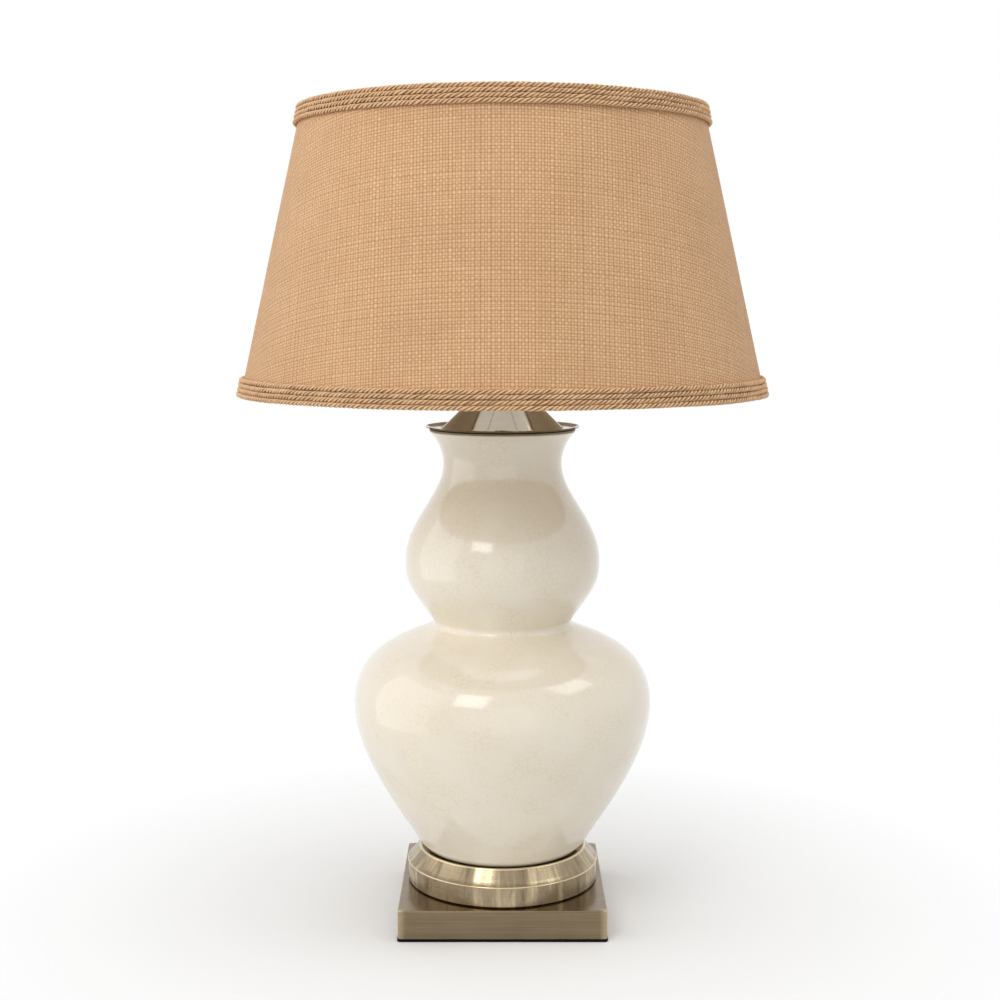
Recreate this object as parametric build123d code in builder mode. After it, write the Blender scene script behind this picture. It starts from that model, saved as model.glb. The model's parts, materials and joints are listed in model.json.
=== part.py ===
from build123d import *
import math
import os

# A table lamp: a double gourd of glazed ceramic on a turned pedestal and a square plinth,
# with a vase cap, a harp and a tapered fabric shade.
# Millimetres, +Z up, front towards -Y, origin at the centre of the underside.

os.makedirs("parts", exist_ok=True)

# ---------------------------------------------------------------- clearances
SEAT_GAP = 0.1  # between flat faces that turn on each other
THREAD_GAP = 0.1  # radial, between plain cylinders that stand for a screw thread
LOOSE_GAP = 0.3  # radial, between curved faces that only pass each other

# ---------------------------------------------------------------- base
FELT_SIDE = 184.2
FELT_T = 2.3
FELT_CORNER_R = 3.0

PLINTH_SIDE = 182.6
PLINTH_H = 25.5
PLINTH_WALL = 1.5
PLINTH_CORNER_R = 2.5
PLINTH_EDGE_R = 1.0
PLINTH_TOP = FELT_T + PLINTH_H

BOARD_T = 4.0
BOARD_GAP = 0.3

BUSHING_Z = 15.0
BUSHING_FLANGE_R = 7.5
BUSHING_FLANGE_T = 1.6
BUSHING_BODY_R = 5.5
BUSHING_SNAP_R = 6.3
BUSHING_SNAP_T = 1.2
BUSHING_BORE_R = 3.6

ROD_R = 4.8
ROD_BORE_R = 3.2
ROD_BOTTOM = 15.0
ROD_HOLE_R = ROD_R + LOOSE_GAP

WASHER_R = 12.0
WASHER_T = 2.0
LOCK_WASHER_R = 8.2
LOCK_WASHER_T = 1.1
LOCK_TOOTH_COUNT = 10
LOCK_TOOTH_W = 1.2
LOCK_TOOTH_DEPTH = 1.6
NUT_FLATS = 14.3
NUT_H = 5.0

# ---------------------------------------------------------------- pedestal
PEDESTAL_SHEET = 1.5
PEDESTAL_FOOT_R = 84.4
PEDESTAL_BAND_R = 86.3
PEDESTAL_BAND_LOW = PLINTH_TOP + 1.5
PEDESTAL_BAND_HIGH = 45.7
PEDESTAL_BEAD = 0.7
PEDESTAL_COVE_LOW = PEDESTAL_BAND_HIGH + 2 * PEDESTAL_BEAD
PEDESTAL_COVE_R = 82.9
PEDESTAL_COVE_HIGH = 50.0
PEDESTAL_SHOULDER_R = 76.6
PEDESTAL_SHOULDER_Z = 58.9
PEDESTAL_RIM_R = 75.0
PEDESTAL_RIM_Z = 60.3
PEDESTAL_LIP_R = 73.3
PEDESTAL_LIP_Z = 59.4
DISH_R = 68.5
DISH_Z = 55.5

FOOT_GASKET_T = 2.0
FOOT_GASKET_INNER_R = 52.5
FOOT_GASKET_OUTER_R = 63.0

# ---------------------------------------------------------------- ceramic gourd
CERAMIC_WALL = 6.0
FOOT_R = 63.5
FOOT_Z = DISH_Z + FOOT_GASKET_T
FOOT_RECESS_R = 52.0
FOOT_RECESS = 2.0
CERAMIC_HOLE_R = 9.0
HEEL_R = 75.8
HEEL_Z = 66.0
HEEL_LEAN = 31.5  # degrees from vertical
BELLY_R = 134.3
BELLY_Z = 193.0
WAIST_R = 60.2
WAIST_Z = 266.3
SHOULDER_FALL = 37.0  # degrees from horizontal where the shoulder meets the waist
WAIST_LEAN = 35.5  # degrees from vertical where the upper lobe starts
WAIST_CREASE_R = 5.0
LOBE_R = 87.5
LOBE_Z = 322.0
NECK_R = 53.0
NECK_Z = 410.0
MOUTH_R = 66.8
MOUTH_Z = 439.7
MOUTH_LEAN = 55.0  # degrees from vertical
MOUTH_EDGE_R = 1.0

# How far each curve runs on along its end tangents: larger is fuller.
HEEL_PULL = 30.0
BELLY_PULL_DOWN = 46.0
BELLY_PULL_UP = 56.0
SHOULDER_PULL = 22.0
WAIST_PULL = 40.0
LOBE_PULL_DOWN = 18.0
LOBE_PULL_UP = 37.0
NECK_PULL_DOWN = 28.0
NECK_PULL_UP = 7.5
MOUTH_PULL = 13.0

# ---------------------------------------------------------------- vase cap
CAP_GASKET_T = 1.2
CAP_GASKET_INNER_R = 57.5
CAP_GASKET_OUTER_R = 65.2
CAP_SEAT_Z = MOUTH_Z + CAP_GASKET_T
CAP_SHEET = 1.2
CAP_LIP_R = 68.5
CAP_LIP_RISE = 1.8
CAP_LIP_START_R = 63.5
CAP_CONE_R = 53.6
CAP_CONE_TOP_R = 14.0
CAP_TOP_Z = 480.6
CAP_LIP_BEND_R = 4.0
CAP_CONE_BEND_R = 5.0
CAP_TOP_BEND_R = 2.5

CAP_NECK_R = 8.0
CAP_NECK_WAIST_R = 6.8
CAP_NECK_H = 8.0
CAP_NECK_COLLAR = 2.0
SADDLE_Z = CAP_TOP_Z + CAP_NECK_H

# ---------------------------------------------------------------- harp
HARP_WIRE_R = 2.0
HARP_LEG_X = 30.0
HARP_LEG_TOP = 536.0
HARP_HALF_W = 56.0
HARP_WIDE_Z = 600.0
HARP_TOP_Z = 690.0
HARP_KNEE_R = 60.0
HARP_SWELL_R = 150.0
HARP_CROWN_R = 44.0
HARP_FOOT_CHAMFER = 1.0

SADDLE_T = 1.6
SADDLE_HUB_R = 10.0
SADDLE_TONGUE_W = 5.0
SADDLE_BEND_R = 1.6
SADDLE_TONGUE_X = HARP_LEG_X + HARP_WIRE_R + THREAD_GAP + SADDLE_T / 2
SADDLE_TOP = SADDLE_Z + SADDLE_T
TONGUE_TOP = SADDLE_TOP + 15.0

FERRULE_BOTTOM = SADDLE_TOP + 3.2
FERRULE_CUP_R = 4.7
FERRULE_WALL = 0.8
FERRULE_TOP = TONGUE_TOP + 4.5
FERRULE_TOP_R = 3.4

STUD_BLOCK_R = 6.5
STUD_BLOCK_BOTTOM = HARP_TOP_Z - 4.5
STUD_BLOCK_TOP = HARP_TOP_Z + 5.0
STUD_R = 3.1
STUD_TOP = STUD_BLOCK_TOP + 12.0
STUD_EDGE = 0.8

# ---------------------------------------------------------------- socket
SOCKET_SHEET = 0.8
SOCKET_HUB_R = 7.2
SOCKET_HUB_TOP = SADDLE_TOP + 8.8
ROD_TOP = SOCKET_HUB_TOP - 1.5
SOCKET_CAP_R = 16.3
SOCKET_CAP_WAIST_Z = SADDLE_TOP + 6.3
SOCKET_CAP_SHOULDER_Z = SADDLE_TOP + 13.8
SOCKET_CAP_TOP = SADDLE_TOP + 21.8

SET_SCREW_R = 1.6
SET_SCREW_HEAD_R = 2.3
SET_SCREW_HEAD_T = 1.8
SET_SCREW_Z = SADDLE_TOP + 3.4

SHELL_R = 15.3
SHELL_SHEET = 0.6
SHELL_BOTTOM = SOCKET_CAP_TOP - 5.0
SHELL_TOP = 556.5
SHELL_BEAD_Z = 541.0
SHELL_BEAD_R = 0.7

INSULATOR_INNER_R = 14.2
INSULATOR_OUTER_R = 14.8

SWITCH_BODY_R = 13.4
SWITCH_BODY_BOTTOM = SADDLE_TOP + 12.3
SWITCH_BODY_TOP = 529.0
SWITCH_BODY_CHAMFER = 1.0
TERMINAL_FLAT_X = 11.2
TERMINAL_FLAT_H = 12.0

SCREW_SHELL_INNER_R = 13.3
SCREW_SHELL_OUTER_R = 13.8
SCREW_SHELL_FLOOR_R = 9.0
SCREW_SHELL_TOP = 555.0

CONTACT_T = 0.6
CONTACT_W = 5.0
CONTACT_HALF_L = 7.0
CONTACT_RISE = 2.2
CONTACT_BEND_R = 0.75

TERMINAL_Z = 517.0
TERMINAL_SHANK_R = 1.7
TERMINAL_SHANK_L = 5.0
TERMINAL_HEAD_R = 3.2
TERMINAL_HEAD_T = 1.3
TERMINAL_SLOT_W = 0.8
TERMINAL_SLOT_DEPTH = 0.6

SWITCH_Z = 519.0
SHAFT_R = 1.6
SHAFT_INNER_Y = 8.0
SHAFT_OUTER_Y = 30.0
SHAFT_SLOT_R = 2.6
KNOB_R = 6.4
KNOB_NEAR_Y = 20.5
KNOB_FAR_Y = 32.0
KNOB_FLUTES = 12
KNOB_FLUTE_R = 0.8
KNOB_SOCKET_END_Y = 30.5

# ---------------------------------------------------------------- bulb
TIP_Z = SWITCH_BODY_TOP + CONTACT_RISE + CONTACT_T + 2 * SEAT_GAP
BULB_LENGTH = 108.0
GLOBE_R = 30.0
GLOBE_TOP = TIP_Z + BULB_LENGTH
GLOBE_CENTRE_Z = GLOBE_TOP - GLOBE_R
GLOBE_TANGENT_ANGLE = -35.0  # degrees, where the neck curve joins the sphere
GLOBE_WALL = 0.9
BULB_NECK_R = 13.0
BULB_NECK_Z = 559.0
BULB_NECK_PULL = 13.0
BULB_FLARE_PULL = 14.0
BULB_BASE_R = 12.9
BULB_BASE_WALL = 0.4
BULB_BASE_BOTTOM = TIP_Z + 4.5
BULB_BASE_TOP = 558.0
BULB_BASE_LOW_R = 10.5
BULB_BASE_CONE_Z = TIP_Z + 6.5
TIP_R = 4.8
TIP_T = 1.2

# ---------------------------------------------------------------- shade
SHADE_TOP_Z = 721.6
SHADE_BOTTOM_Z = 471.8
COVER_TOP_R = 174.8  # outer face, at the height of the trim's top
COVER_BOTTOM_R = 230.9  # outer face, at the height of the trim's bottom
COVER_T = 1.0
LINER_T = 0.4
LINER_GAP = 0.1
HEM = 11.0
RING_WIRE_R = 1.6
FOLD_R = RING_WIRE_R + COVER_T / 2 + LINER_GAP
RING_TOP_Z = 717.2
RING_BOTTOM_Z = 476.4

ROPE_ROWS = 4
ROPE_D = 4.3
ROPE_PITCH = 4.2
TRIM_SEAM_GAP = 1.0  # along the rim, where the ends of the trim meet at the back

ARM_COUNT = 3
ARM_FIRST_ANGLE = 90.0  # one arm points to the back
ARM_WIRE_R = 1.4
ARM_BEND_RADIUS = 26.0
ARM_BEND_R = 12.0
ARM_NOTCH_W = 7.0
HUB_R = 13.0
HUB_T = 3.0
HUB_HOLE_R = 3.6
HUB_EDGE_R = 0.4
HUB_BOTTOM = STUD_BLOCK_TOP + SEAT_GAP
HUB_TOP = HUB_BOTTOM + HUB_T

FINIAL_BOTTOM = HUB_TOP + SEAT_GAP
FINIAL_H = 27.0
FINIAL_FLANGE_R = 8.0
FINIAL_FLANGE_T = 2.4
FINIAL_NECK_R = 4.6
FINIAL_NECK_H = 11.0
FINIAL_BALL_R = 8.2
FINIAL_BORE_DEPTH = 10.5
FINIAL_EDGE_R = 0.8

SHADE_SLOPE = (COVER_BOTTOM_R - COVER_TOP_R) / (SHADE_TOP_Z - SHADE_BOTTOM_Z)
SHADE_LEAN = math.atan(SHADE_SLOPE)


def on_shade(height, inset):
    """Point (radius, z) that lies `inset` inside the cover's outer face, square to it."""
    radius = COVER_TOP_R + (SHADE_TOP_Z - height) * SHADE_SLOPE
    return (radius - inset * math.cos(SHADE_LEAN), height - inset * math.sin(SHADE_LEAN))


def up_shade(point, distance):
    """The point moved up along the slope of the shade."""
    return (point[0] - distance * math.sin(SHADE_LEAN), point[1] + distance * math.cos(SHADE_LEAN))


def pull(point, degrees_from_vertical, distance):
    """The point moved up and outwards at an angle from the vertical."""
    angle = math.radians(degrees_from_vertical)
    return (point[0] + distance * math.sin(angle), point[1] + distance * math.cos(angle))


def ring_sketch(inner_radius, outer_radius):
    """Flat ring round the lamp's axis, for the sketch that is open."""
    Circle(outer_radius)
    Circle(inner_radius, mode=Mode.SUBTRACT)


# ================================================================ base
with BuildPart() as base_felt:
    with BuildSketch():
        RectangleRounded(FELT_SIDE, FELT_SIDE, FELT_CORNER_R)
    extrude(amount=FELT_T)

# Pressed box, open below.
with BuildPart() as plinth:
    with BuildSketch(Plane.XY.offset(FELT_T)):
        RectangleRounded(PLINTH_SIDE, PLINTH_SIDE, PLINTH_CORNER_R)
    extrude(amount=PLINTH_H)
    fillet(plinth.faces().sort_by(Axis.Z)[-1].edges(), PLINTH_EDGE_R)
    offset(amount=-PLINTH_WALL, openings=plinth.faces().sort_by(Axis.Z)[0])
    with BuildSketch(Plane.XY.offset(PLINTH_TOP)):
        Circle(ROD_HOLE_R)
    extrude(amount=-2 * PLINTH_WALL, mode=Mode.SUBTRACT)
    with BuildSketch(Plane.XZ.offset(-PLINTH_SIDE / 2)):
        with Locations((0, BUSHING_Z)):
            Circle(BUSHING_BODY_R + THREAD_GAP)
    extrude(amount=2 * PLINTH_WALL, mode=Mode.SUBTRACT)

# Board set into the open side, level with the walls, for the felt to be glued to.
BOARD_SIDE = PLINTH_SIDE - 2 * PLINTH_WALL - 2 * BOARD_GAP
with BuildPart() as base_board:
    with BuildSketch(Plane.XY.offset(FELT_T)):
        RectangleRounded(BOARD_SIDE, BOARD_SIDE, PLINTH_CORNER_R)
    extrude(amount=BOARD_T)

# Snap bushing in the rear wall: flange outside, barbs inside, bore for the supply lead.
BUSHING_LENGTH = BUSHING_FLANGE_T + PLINTH_WALL + BUSHING_SNAP_T
REAR_WALL = Plane(origin=(0, PLINTH_SIDE / 2, BUSHING_Z), x_dir=(1, 0, 0), z_dir=(0, 1, 0))
with BuildPart() as cord_bushing:
    with BuildSketch(REAR_WALL):
        Circle(BUSHING_FLANGE_R)
    extrude(amount=BUSHING_FLANGE_T)
    fillet(cord_bushing.faces().sort_by(Axis.Y)[-1].edges(), BUSHING_FLANGE_T / 2)
    with BuildSketch(REAR_WALL):
        Circle(BUSHING_BODY_R)
    extrude(amount=-PLINTH_WALL - BUSHING_SNAP_T)
    with BuildSketch(REAR_WALL.offset(-PLINTH_WALL)):
        Circle(BUSHING_SNAP_R)
    extrude(amount=-BUSHING_SNAP_T)
    with BuildSketch(REAR_WALL.offset(BUSHING_FLANGE_T)):
        Circle(BUSHING_BORE_R)
    extrude(amount=-BUSHING_LENGTH, mode=Mode.SUBTRACT)

# ================================================================ clamping rod
with BuildPart() as threaded_rod:
    with BuildSketch(Plane.XY.offset(ROD_BOTTOM)):
        ring_sketch(ROD_BORE_R, ROD_R)
    extrude(amount=ROD_TOP - ROD_BOTTOM)

WASHER_TOP = PLINTH_TOP - PLINTH_WALL
with BuildPart() as rod_washer:
    with BuildSketch(Plane.XY.offset(WASHER_TOP)):
        ring_sketch(ROD_HOLE_R, WASHER_R)
    extrude(amount=-WASHER_T)

LOCK_WASHER_TOP = WASHER_TOP - WASHER_T
with BuildPart() as rod_lock_washer:
    with BuildSketch(Plane.XY.offset(LOCK_WASHER_TOP)):
        ring_sketch(ROD_HOLE_R, LOCK_WASHER_R)
        with PolarLocations(LOCK_WASHER_R, LOCK_TOOTH_COUNT):
            Rectangle(LOCK_TOOTH_DEPTH, LOCK_TOOTH_W, mode=Mode.SUBTRACT)
    extrude(amount=-LOCK_WASHER_T)

NUT_TOP = LOCK_WASHER_TOP - LOCK_WASHER_T
with BuildPart() as rod_nut:
    with BuildSketch(Plane.XY.offset(NUT_TOP)):
        RegularPolygon(NUT_FLATS / 2, 6, major_radius=False)
        Circle(ROD_R + THREAD_GAP, mode=Mode.SUBTRACT)
    extrude(amount=-NUT_H)

# ================================================================ pedestal
# Spun in one piece: foot, vertical band, bead, cove, rolled rim and sunk dish.
with BuildPart() as pedestal_ring:
    with BuildSketch(Plane.XZ):
        with BuildLine():
            Polyline(
                (0, PLINTH_TOP),
                (PEDESTAL_FOOT_R, PLINTH_TOP),
                (PEDESTAL_BAND_R, PEDESTAL_BAND_LOW),
                (PEDESTAL_BAND_R, PEDESTAL_BAND_HIGH),
            )
            ThreePointArc(
                (PEDESTAL_BAND_R, PEDESTAL_BAND_HIGH),
                (PEDESTAL_BAND_R + PEDESTAL_BEAD, PEDESTAL_BAND_HIGH + PEDESTAL_BEAD),
                (PEDESTAL_BAND_R, PEDESTAL_COVE_LOW),
            )
            cove_slope = Line(
                (PEDESTAL_COVE_R, PEDESTAL_COVE_HIGH), (PEDESTAL_SHOULDER_R, PEDESTAL_SHOULDER_Z)
            )
            TangentArc(
                (PEDESTAL_COVE_R, PEDESTAL_COVE_HIGH),
                (PEDESTAL_BAND_R, PEDESTAL_COVE_LOW),
                tangent=cove_slope % 0 * -1,
            )
            ThreePointArc(
                (PEDESTAL_SHOULDER_R, PEDESTAL_SHOULDER_Z),
                (PEDESTAL_RIM_R, PEDESTAL_RIM_Z),
                (PEDESTAL_LIP_R, PEDESTAL_LIP_Z),
            )
            Polyline((PEDESTAL_LIP_R, PEDESTAL_LIP_Z), (DISH_R, DISH_Z), (0, DISH_Z), (0, PLINTH_TOP))
        make_face()
    revolve(axis=Axis.Z)
    offset(amount=-PEDESTAL_SHEET, openings=pedestal_ring.faces().sort_by(Axis.Z)[0])
    with BuildSketch(Plane.XY.offset(DISH_Z)):
        Circle(ROD_HOLE_R)
    extrude(amount=-2 * PEDESTAL_SHEET, mode=Mode.SUBTRACT)

with BuildPart() as foot_gasket:
    with BuildSketch(Plane.XY.offset(DISH_Z)):
        ring_sketch(FOOT_GASKET_INNER_R, FOOT_GASKET_OUTER_R)
    extrude(amount=FOOT_GASKET_T)

# ================================================================ ceramic gourd
# Outline from the foot up: heel, full belly, creased waist, upper lobe, neck, flared mouth.
heel = (HEEL_R, HEEL_Z)
belly = (BELLY_R, BELLY_Z)
waist = (WAIST_R, WAIST_Z)
lobe = (LOBE_R, LOBE_Z)
neck = (NECK_R, NECK_Z)
mouth = (MOUTH_R, MOUTH_Z)
with BuildPart() as ceramic_body:
    with BuildSketch(Plane.XZ):
        with BuildLine():
            lower_belly = Bezier(
                heel, pull(heel, HEEL_LEAN, HEEL_PULL), pull(belly, 0, -BELLY_PULL_DOWN), belly
            )
            TangentArc(heel, (FOOT_R, FOOT_Z), tangent=lower_belly % 0 * -1)
            Bezier(
                belly,
                pull(belly, 0, BELLY_PULL_UP),
                pull(waist, SHOULDER_FALL + 90, SHOULDER_PULL),
                waist,
            )
            Bezier(waist, pull(waist, WAIST_LEAN, WAIST_PULL), pull(lobe, 0, -LOBE_PULL_DOWN), lobe)
            Bezier(lobe, pull(lobe, 0, LOBE_PULL_UP), pull(neck, 0, -NECK_PULL_DOWN), neck)
            Bezier(neck, pull(neck, 0, NECK_PULL_UP), pull(mouth, MOUTH_LEAN, -MOUTH_PULL), mouth)
            Polyline(mouth, (0, MOUTH_Z), (0, FOOT_Z), (FOOT_R, FOOT_Z))
        make_face()
    revolve(axis=Axis.Z)
    waist_edge = ceramic_body.edges().filter_by_position(Axis.Z, WAIST_Z, WAIST_Z)
    fillet(waist_edge, WAIST_CREASE_R)
    offset(amount=-CERAMIC_WALL, openings=ceramic_body.faces().sort_by(Axis.Z)[-1])
    with BuildSketch(Plane.XY.offset(FOOT_Z)):
        Circle(FOOT_RECESS_R)
    extrude(amount=FOOT_RECESS, mode=Mode.SUBTRACT)
    with BuildSketch(Plane.XY.offset(FOOT_Z)):
        Circle(CERAMIC_HOLE_R)
    extrude(amount=2 * CERAMIC_WALL, mode=Mode.SUBTRACT)
    fillet(ceramic_body.edges().group_by(Axis.Z)[-1].sort_by(SortBy.LENGTH)[-1], MOUTH_EDGE_R)

# ================================================================ vase cap
with BuildPart() as cap_gasket:
    with BuildSketch(Plane.XY.offset(MOUTH_Z)):
        ring_sketch(CAP_GASKET_INNER_R, CAP_GASKET_OUTER_R)
    extrude(amount=CAP_GASKET_T)

# Spun sheet: top plate, straight cone, trough that sits on the gasket, raised lip.
CAP_SEAT_MID = CAP_SEAT_Z + CAP_SHEET / 2
CAP_TOP_MID = CAP_TOP_Z - CAP_SHEET / 2
with BuildPart() as vase_cap:
    with BuildSketch(Plane.XZ):
        with BuildLine():
            FilletPolyline(
                (ROD_HOLE_R, CAP_TOP_MID),
                (CAP_CONE_TOP_R, CAP_TOP_MID),
                (CAP_CONE_R, CAP_SEAT_MID),
                (CAP_LIP_START_R, CAP_SEAT_MID),
                (CAP_LIP_R, CAP_SEAT_MID + CAP_LIP_RISE),
                radius=[CAP_TOP_BEND_R, CAP_CONE_BEND_R, CAP_LIP_BEND_R],
            )
        trace(line_width=CAP_SHEET)
    revolve(axis=Axis.Z)

# Turned spacer with a collar at each end.
with BuildPart() as cap_neck:
    with BuildSketch(Plane.XZ):
        with BuildLine():
            Polyline(
                (CAP_NECK_R, SADDLE_Z),
                (ROD_HOLE_R, SADDLE_Z),
                (ROD_HOLE_R, CAP_TOP_Z),
                (CAP_NECK_R, CAP_TOP_Z),
                (CAP_NECK_R, CAP_TOP_Z + CAP_NECK_COLLAR),
            )
            ThreePointArc(
                (CAP_NECK_R, CAP_TOP_Z + CAP_NECK_COLLAR),
                (CAP_NECK_WAIST_R, CAP_TOP_Z + CAP_NECK_H / 2),
                (CAP_NECK_R, SADDLE_Z - CAP_NECK_COLLAR),
            )
            Line((CAP_NECK_R, SADDLE_Z - CAP_NECK_COLLAR), (CAP_NECK_R, SADDLE_Z))
        make_face()
    revolve(axis=Axis.Z)

# ================================================================ harp
# Bent strap, wide round the rod and narrow where its ends turn up into tongues.
with BuildPart() as harp_saddle:
    with BuildSketch(Plane.XZ):
        with BuildLine():
            FilletPolyline(
                (-SADDLE_TONGUE_X, TONGUE_TOP),
                (-SADDLE_TONGUE_X, SADDLE_Z + SADDLE_T / 2),
                (SADDLE_TONGUE_X, SADDLE_Z + SADDLE_T / 2),
                (SADDLE_TONGUE_X, TONGUE_TOP),
                radius=SADDLE_BEND_R,
            )
        trace(line_width=SADDLE_T)
    extrude(amount=SADDLE_HUB_R, both=True)
    with BuildSketch(Plane.XY.offset(SADDLE_Z)):
        with BuildLine():
            tongue_end = SADDLE_TONGUE_X + SADDLE_T
            tongue_start = SADDLE_TONGUE_X - FERRULE_CUP_R
            half_w = SADDLE_TONGUE_W / 2
            Polyline((tongue_end, 0), (tongue_end, half_w), (tongue_start, half_w))
            Spline(
                (tongue_start, half_w),
                (0, SADDLE_HUB_R),
                (-tongue_start, half_w),
                tangents=[(-1, 0), (-1, 0)],
            )
            Polyline((-tongue_start, half_w), (-tongue_end, half_w), (-tongue_end, 0))
            mirror(about=Plane.XZ)
        make_face()
    extrude(amount=TONGUE_TOP - SADDLE_Z, mode=Mode.INTERSECT)
    with BuildSketch(Plane.XY.offset(SADDLE_Z)):
        Circle(ROD_HOLE_R)
    extrude(amount=SADDLE_T, mode=Mode.SUBTRACT)

# One bent wire: straight legs in the ferrules, a swell round the bulb, a level crown.
with BuildPart() as harp_frame:
    with BuildLine(Plane.XZ) as harp_path:
        FilletPolyline(
            (-HARP_LEG_X, SADDLE_TOP),
            (-HARP_LEG_X, HARP_LEG_TOP),
            (-HARP_HALF_W, HARP_WIDE_Z),
            (-HARP_HALF_W, HARP_TOP_Z),
            (HARP_HALF_W, HARP_TOP_Z),
            (HARP_HALF_W, HARP_WIDE_Z),
            (HARP_LEG_X, HARP_LEG_TOP),
            (HARP_LEG_X, SADDLE_TOP),
            radius=[
                HARP_KNEE_R,
                HARP_SWELL_R,
                HARP_CROWN_R,
                HARP_CROWN_R,
                HARP_SWELL_R,
                HARP_KNEE_R,
            ],
        )
    with BuildSketch(Plane(origin=harp_path.wire() @ 0, z_dir=harp_path.wire() % 0)):
        Circle(HARP_WIRE_R)
    sweep(path=harp_path.wire())
    chamfer(harp_frame.faces().group_by(Axis.Z)[0].edges(), HARP_FOOT_CHAMFER)

# Cross-drilled block on the crown, with the stud that the shade's hub goes over.
with BuildPart() as harp_stud:
    with BuildSketch(Plane.XY.offset(STUD_BLOCK_BOTTOM)):
        Circle(STUD_BLOCK_R)
    extrude(amount=STUD_BLOCK_TOP - STUD_BLOCK_BOTTOM)
    fillet(harp_stud.edges().group_by(Axis.Z)[0], STUD_EDGE)
    with BuildSketch(Plane.XY.offset(STUD_BLOCK_TOP)):
        Circle(STUD_R)
    extrude(amount=STUD_TOP - STUD_BLOCK_TOP)
    chamfer(harp_stud.edges().group_by(Axis.Z)[-1], STUD_EDGE)
    with BuildSketch(Plane.YZ):
        with Locations((0, HARP_TOP_Z)):
            Circle(HARP_WIRE_R + THREAD_GAP / 2)
    extrude(amount=STUD_BLOCK_R, both=True, mode=Mode.SUBTRACT)

# Sleeves that hang on the tongues and hold tongue and leg together.
for side, ferrule_name in ((-1, "harp_ferrule_left"), (1, "harp_ferrule_right")):
    leg_x = side * HARP_LEG_X
    ferrule_outer_r = FERRULE_CUP_R + FERRULE_WALL
    ceiling_z = TONGUE_TOP + SEAT_GAP
    with BuildPart() as harp_ferrule:
        with BuildSketch(Plane(origin=(leg_x, 0, 0), x_dir=(1, 0, 0), z_dir=(0, -1, 0))):
            with BuildLine():
                Polyline(
                    (FERRULE_CUP_R, FERRULE_BOTTOM),
                    (FERRULE_CUP_R, ceiling_z),
                    (HARP_WIRE_R + THREAD_GAP, ceiling_z),
                    (HARP_WIRE_R + THREAD_GAP, FERRULE_TOP),
                    (FERRULE_TOP_R, FERRULE_TOP),
                )
                Bezier(
                    (FERRULE_TOP_R, FERRULE_TOP),
                    (ferrule_outer_r, FERRULE_TOP),
                    (ferrule_outer_r, ceiling_z - FERRULE_WALL),
                )
                Polyline(
                    (ferrule_outer_r, ceiling_z - FERRULE_WALL),
                    (ferrule_outer_r, FERRULE_BOTTOM),
                    (FERRULE_CUP_R, FERRULE_BOTTOM),
                )
            make_face()
        revolve(axis=Axis((leg_x, 0, 0), (0, 0, 1)))
    harp_ferrule.part.label = ferrule_name
    export_step(harp_ferrule.part, f"parts/{ferrule_name}.step")

# ================================================================ socket
FRONT = Plane(origin=(0, 0, SWITCH_Z), x_dir=(1, 0, 0), z_dir=(0, -1, 0))
BACK = Plane(origin=(0, 0, SET_SCREW_Z), x_dir=(1, 0, 0), z_dir=(0, 1, 0))

# Threaded hub and spun cup. The rod's end butts against the lip inside the hub.
with BuildPart() as socket_cap:
    with BuildSketch(Plane.XY.offset(SADDLE_TOP)):
        ring_sketch(ROD_R + THREAD_GAP, SOCKET_HUB_R)
    extrude(amount=ROD_TOP - SADDLE_TOP)
    with BuildSketch(Plane.XY.offset(ROD_TOP)):
        ring_sketch(ROD_BORE_R, SOCKET_HUB_R)
    extrude(amount=SOCKET_HUB_TOP - ROD_TOP)
    with BuildSketch(Plane.XZ):
        with BuildLine():
            FilletPolyline(
                (SOCKET_HUB_R - SOCKET_SHEET, SOCKET_CAP_WAIST_Z),
                (SOCKET_HUB_R + SOCKET_SHEET, SOCKET_CAP_WAIST_Z),
                (SOCKET_CAP_R, SOCKET_CAP_SHOULDER_Z),
                (SOCKET_CAP_R, SOCKET_CAP_TOP),
                radius=SOCKET_SHEET,
            )
        trace(line_width=SOCKET_SHEET)
    revolve(axis=Axis.Z)
    with BuildSketch(BACK):
        Circle(SET_SCREW_R + THREAD_GAP)
    extrude(amount=SOCKET_HUB_R, mode=Mode.SUBTRACT)

with BuildPart() as socket_set_screw:
    with BuildSketch(BACK.offset(ROD_R + THREAD_GAP)):
        Circle(SET_SCREW_R)
    extrude(amount=SOCKET_HUB_R - ROD_R)
    with BuildSketch(BACK.offset(SOCKET_HUB_R)):
        Circle(SET_SCREW_HEAD_R)
    extrude(amount=SET_SCREW_HEAD_T)
    with BuildSketch(BACK.offset(SOCKET_HUB_R + SET_SCREW_HEAD_T)):
        Rectangle(2 * SET_SCREW_HEAD_R, TERMINAL_SLOT_W)
    extrude(amount=-TERMINAL_SLOT_DEPTH, mode=Mode.SUBTRACT)

# Shell with a rolled bead and a notch from its lower edge for the switch shaft.
NOTCH_DEPTH = SWITCH_Z - SHELL_BOTTOM
with BuildPart() as socket_shell:
    with BuildSketch(Plane.XZ):
        with BuildLine():
            FilletPolyline(
                (SHELL_R, SHELL_BOTTOM),
                (SHELL_R, SHELL_BEAD_Z - 2 * SHELL_BEAD_R),
                (SHELL_R + SHELL_BEAD_R, SHELL_BEAD_Z),
                (SHELL_R, SHELL_BEAD_Z + 2 * SHELL_BEAD_R),
                (SHELL_R, SHELL_TOP),
                radius=SHELL_SHEET,
            )
        trace(line_width=SHELL_SHEET)
    revolve(axis=Axis.Z)
    with BuildSketch(FRONT):
        Circle(SHAFT_SLOT_R)
        with Locations((0, -NOTCH_DEPTH / 2)):
            Rectangle(2 * SHAFT_SLOT_R, NOTCH_DEPTH)
    extrude(amount=SOCKET_CAP_R + SOCKET_SHEET, mode=Mode.SUBTRACT)

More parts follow.
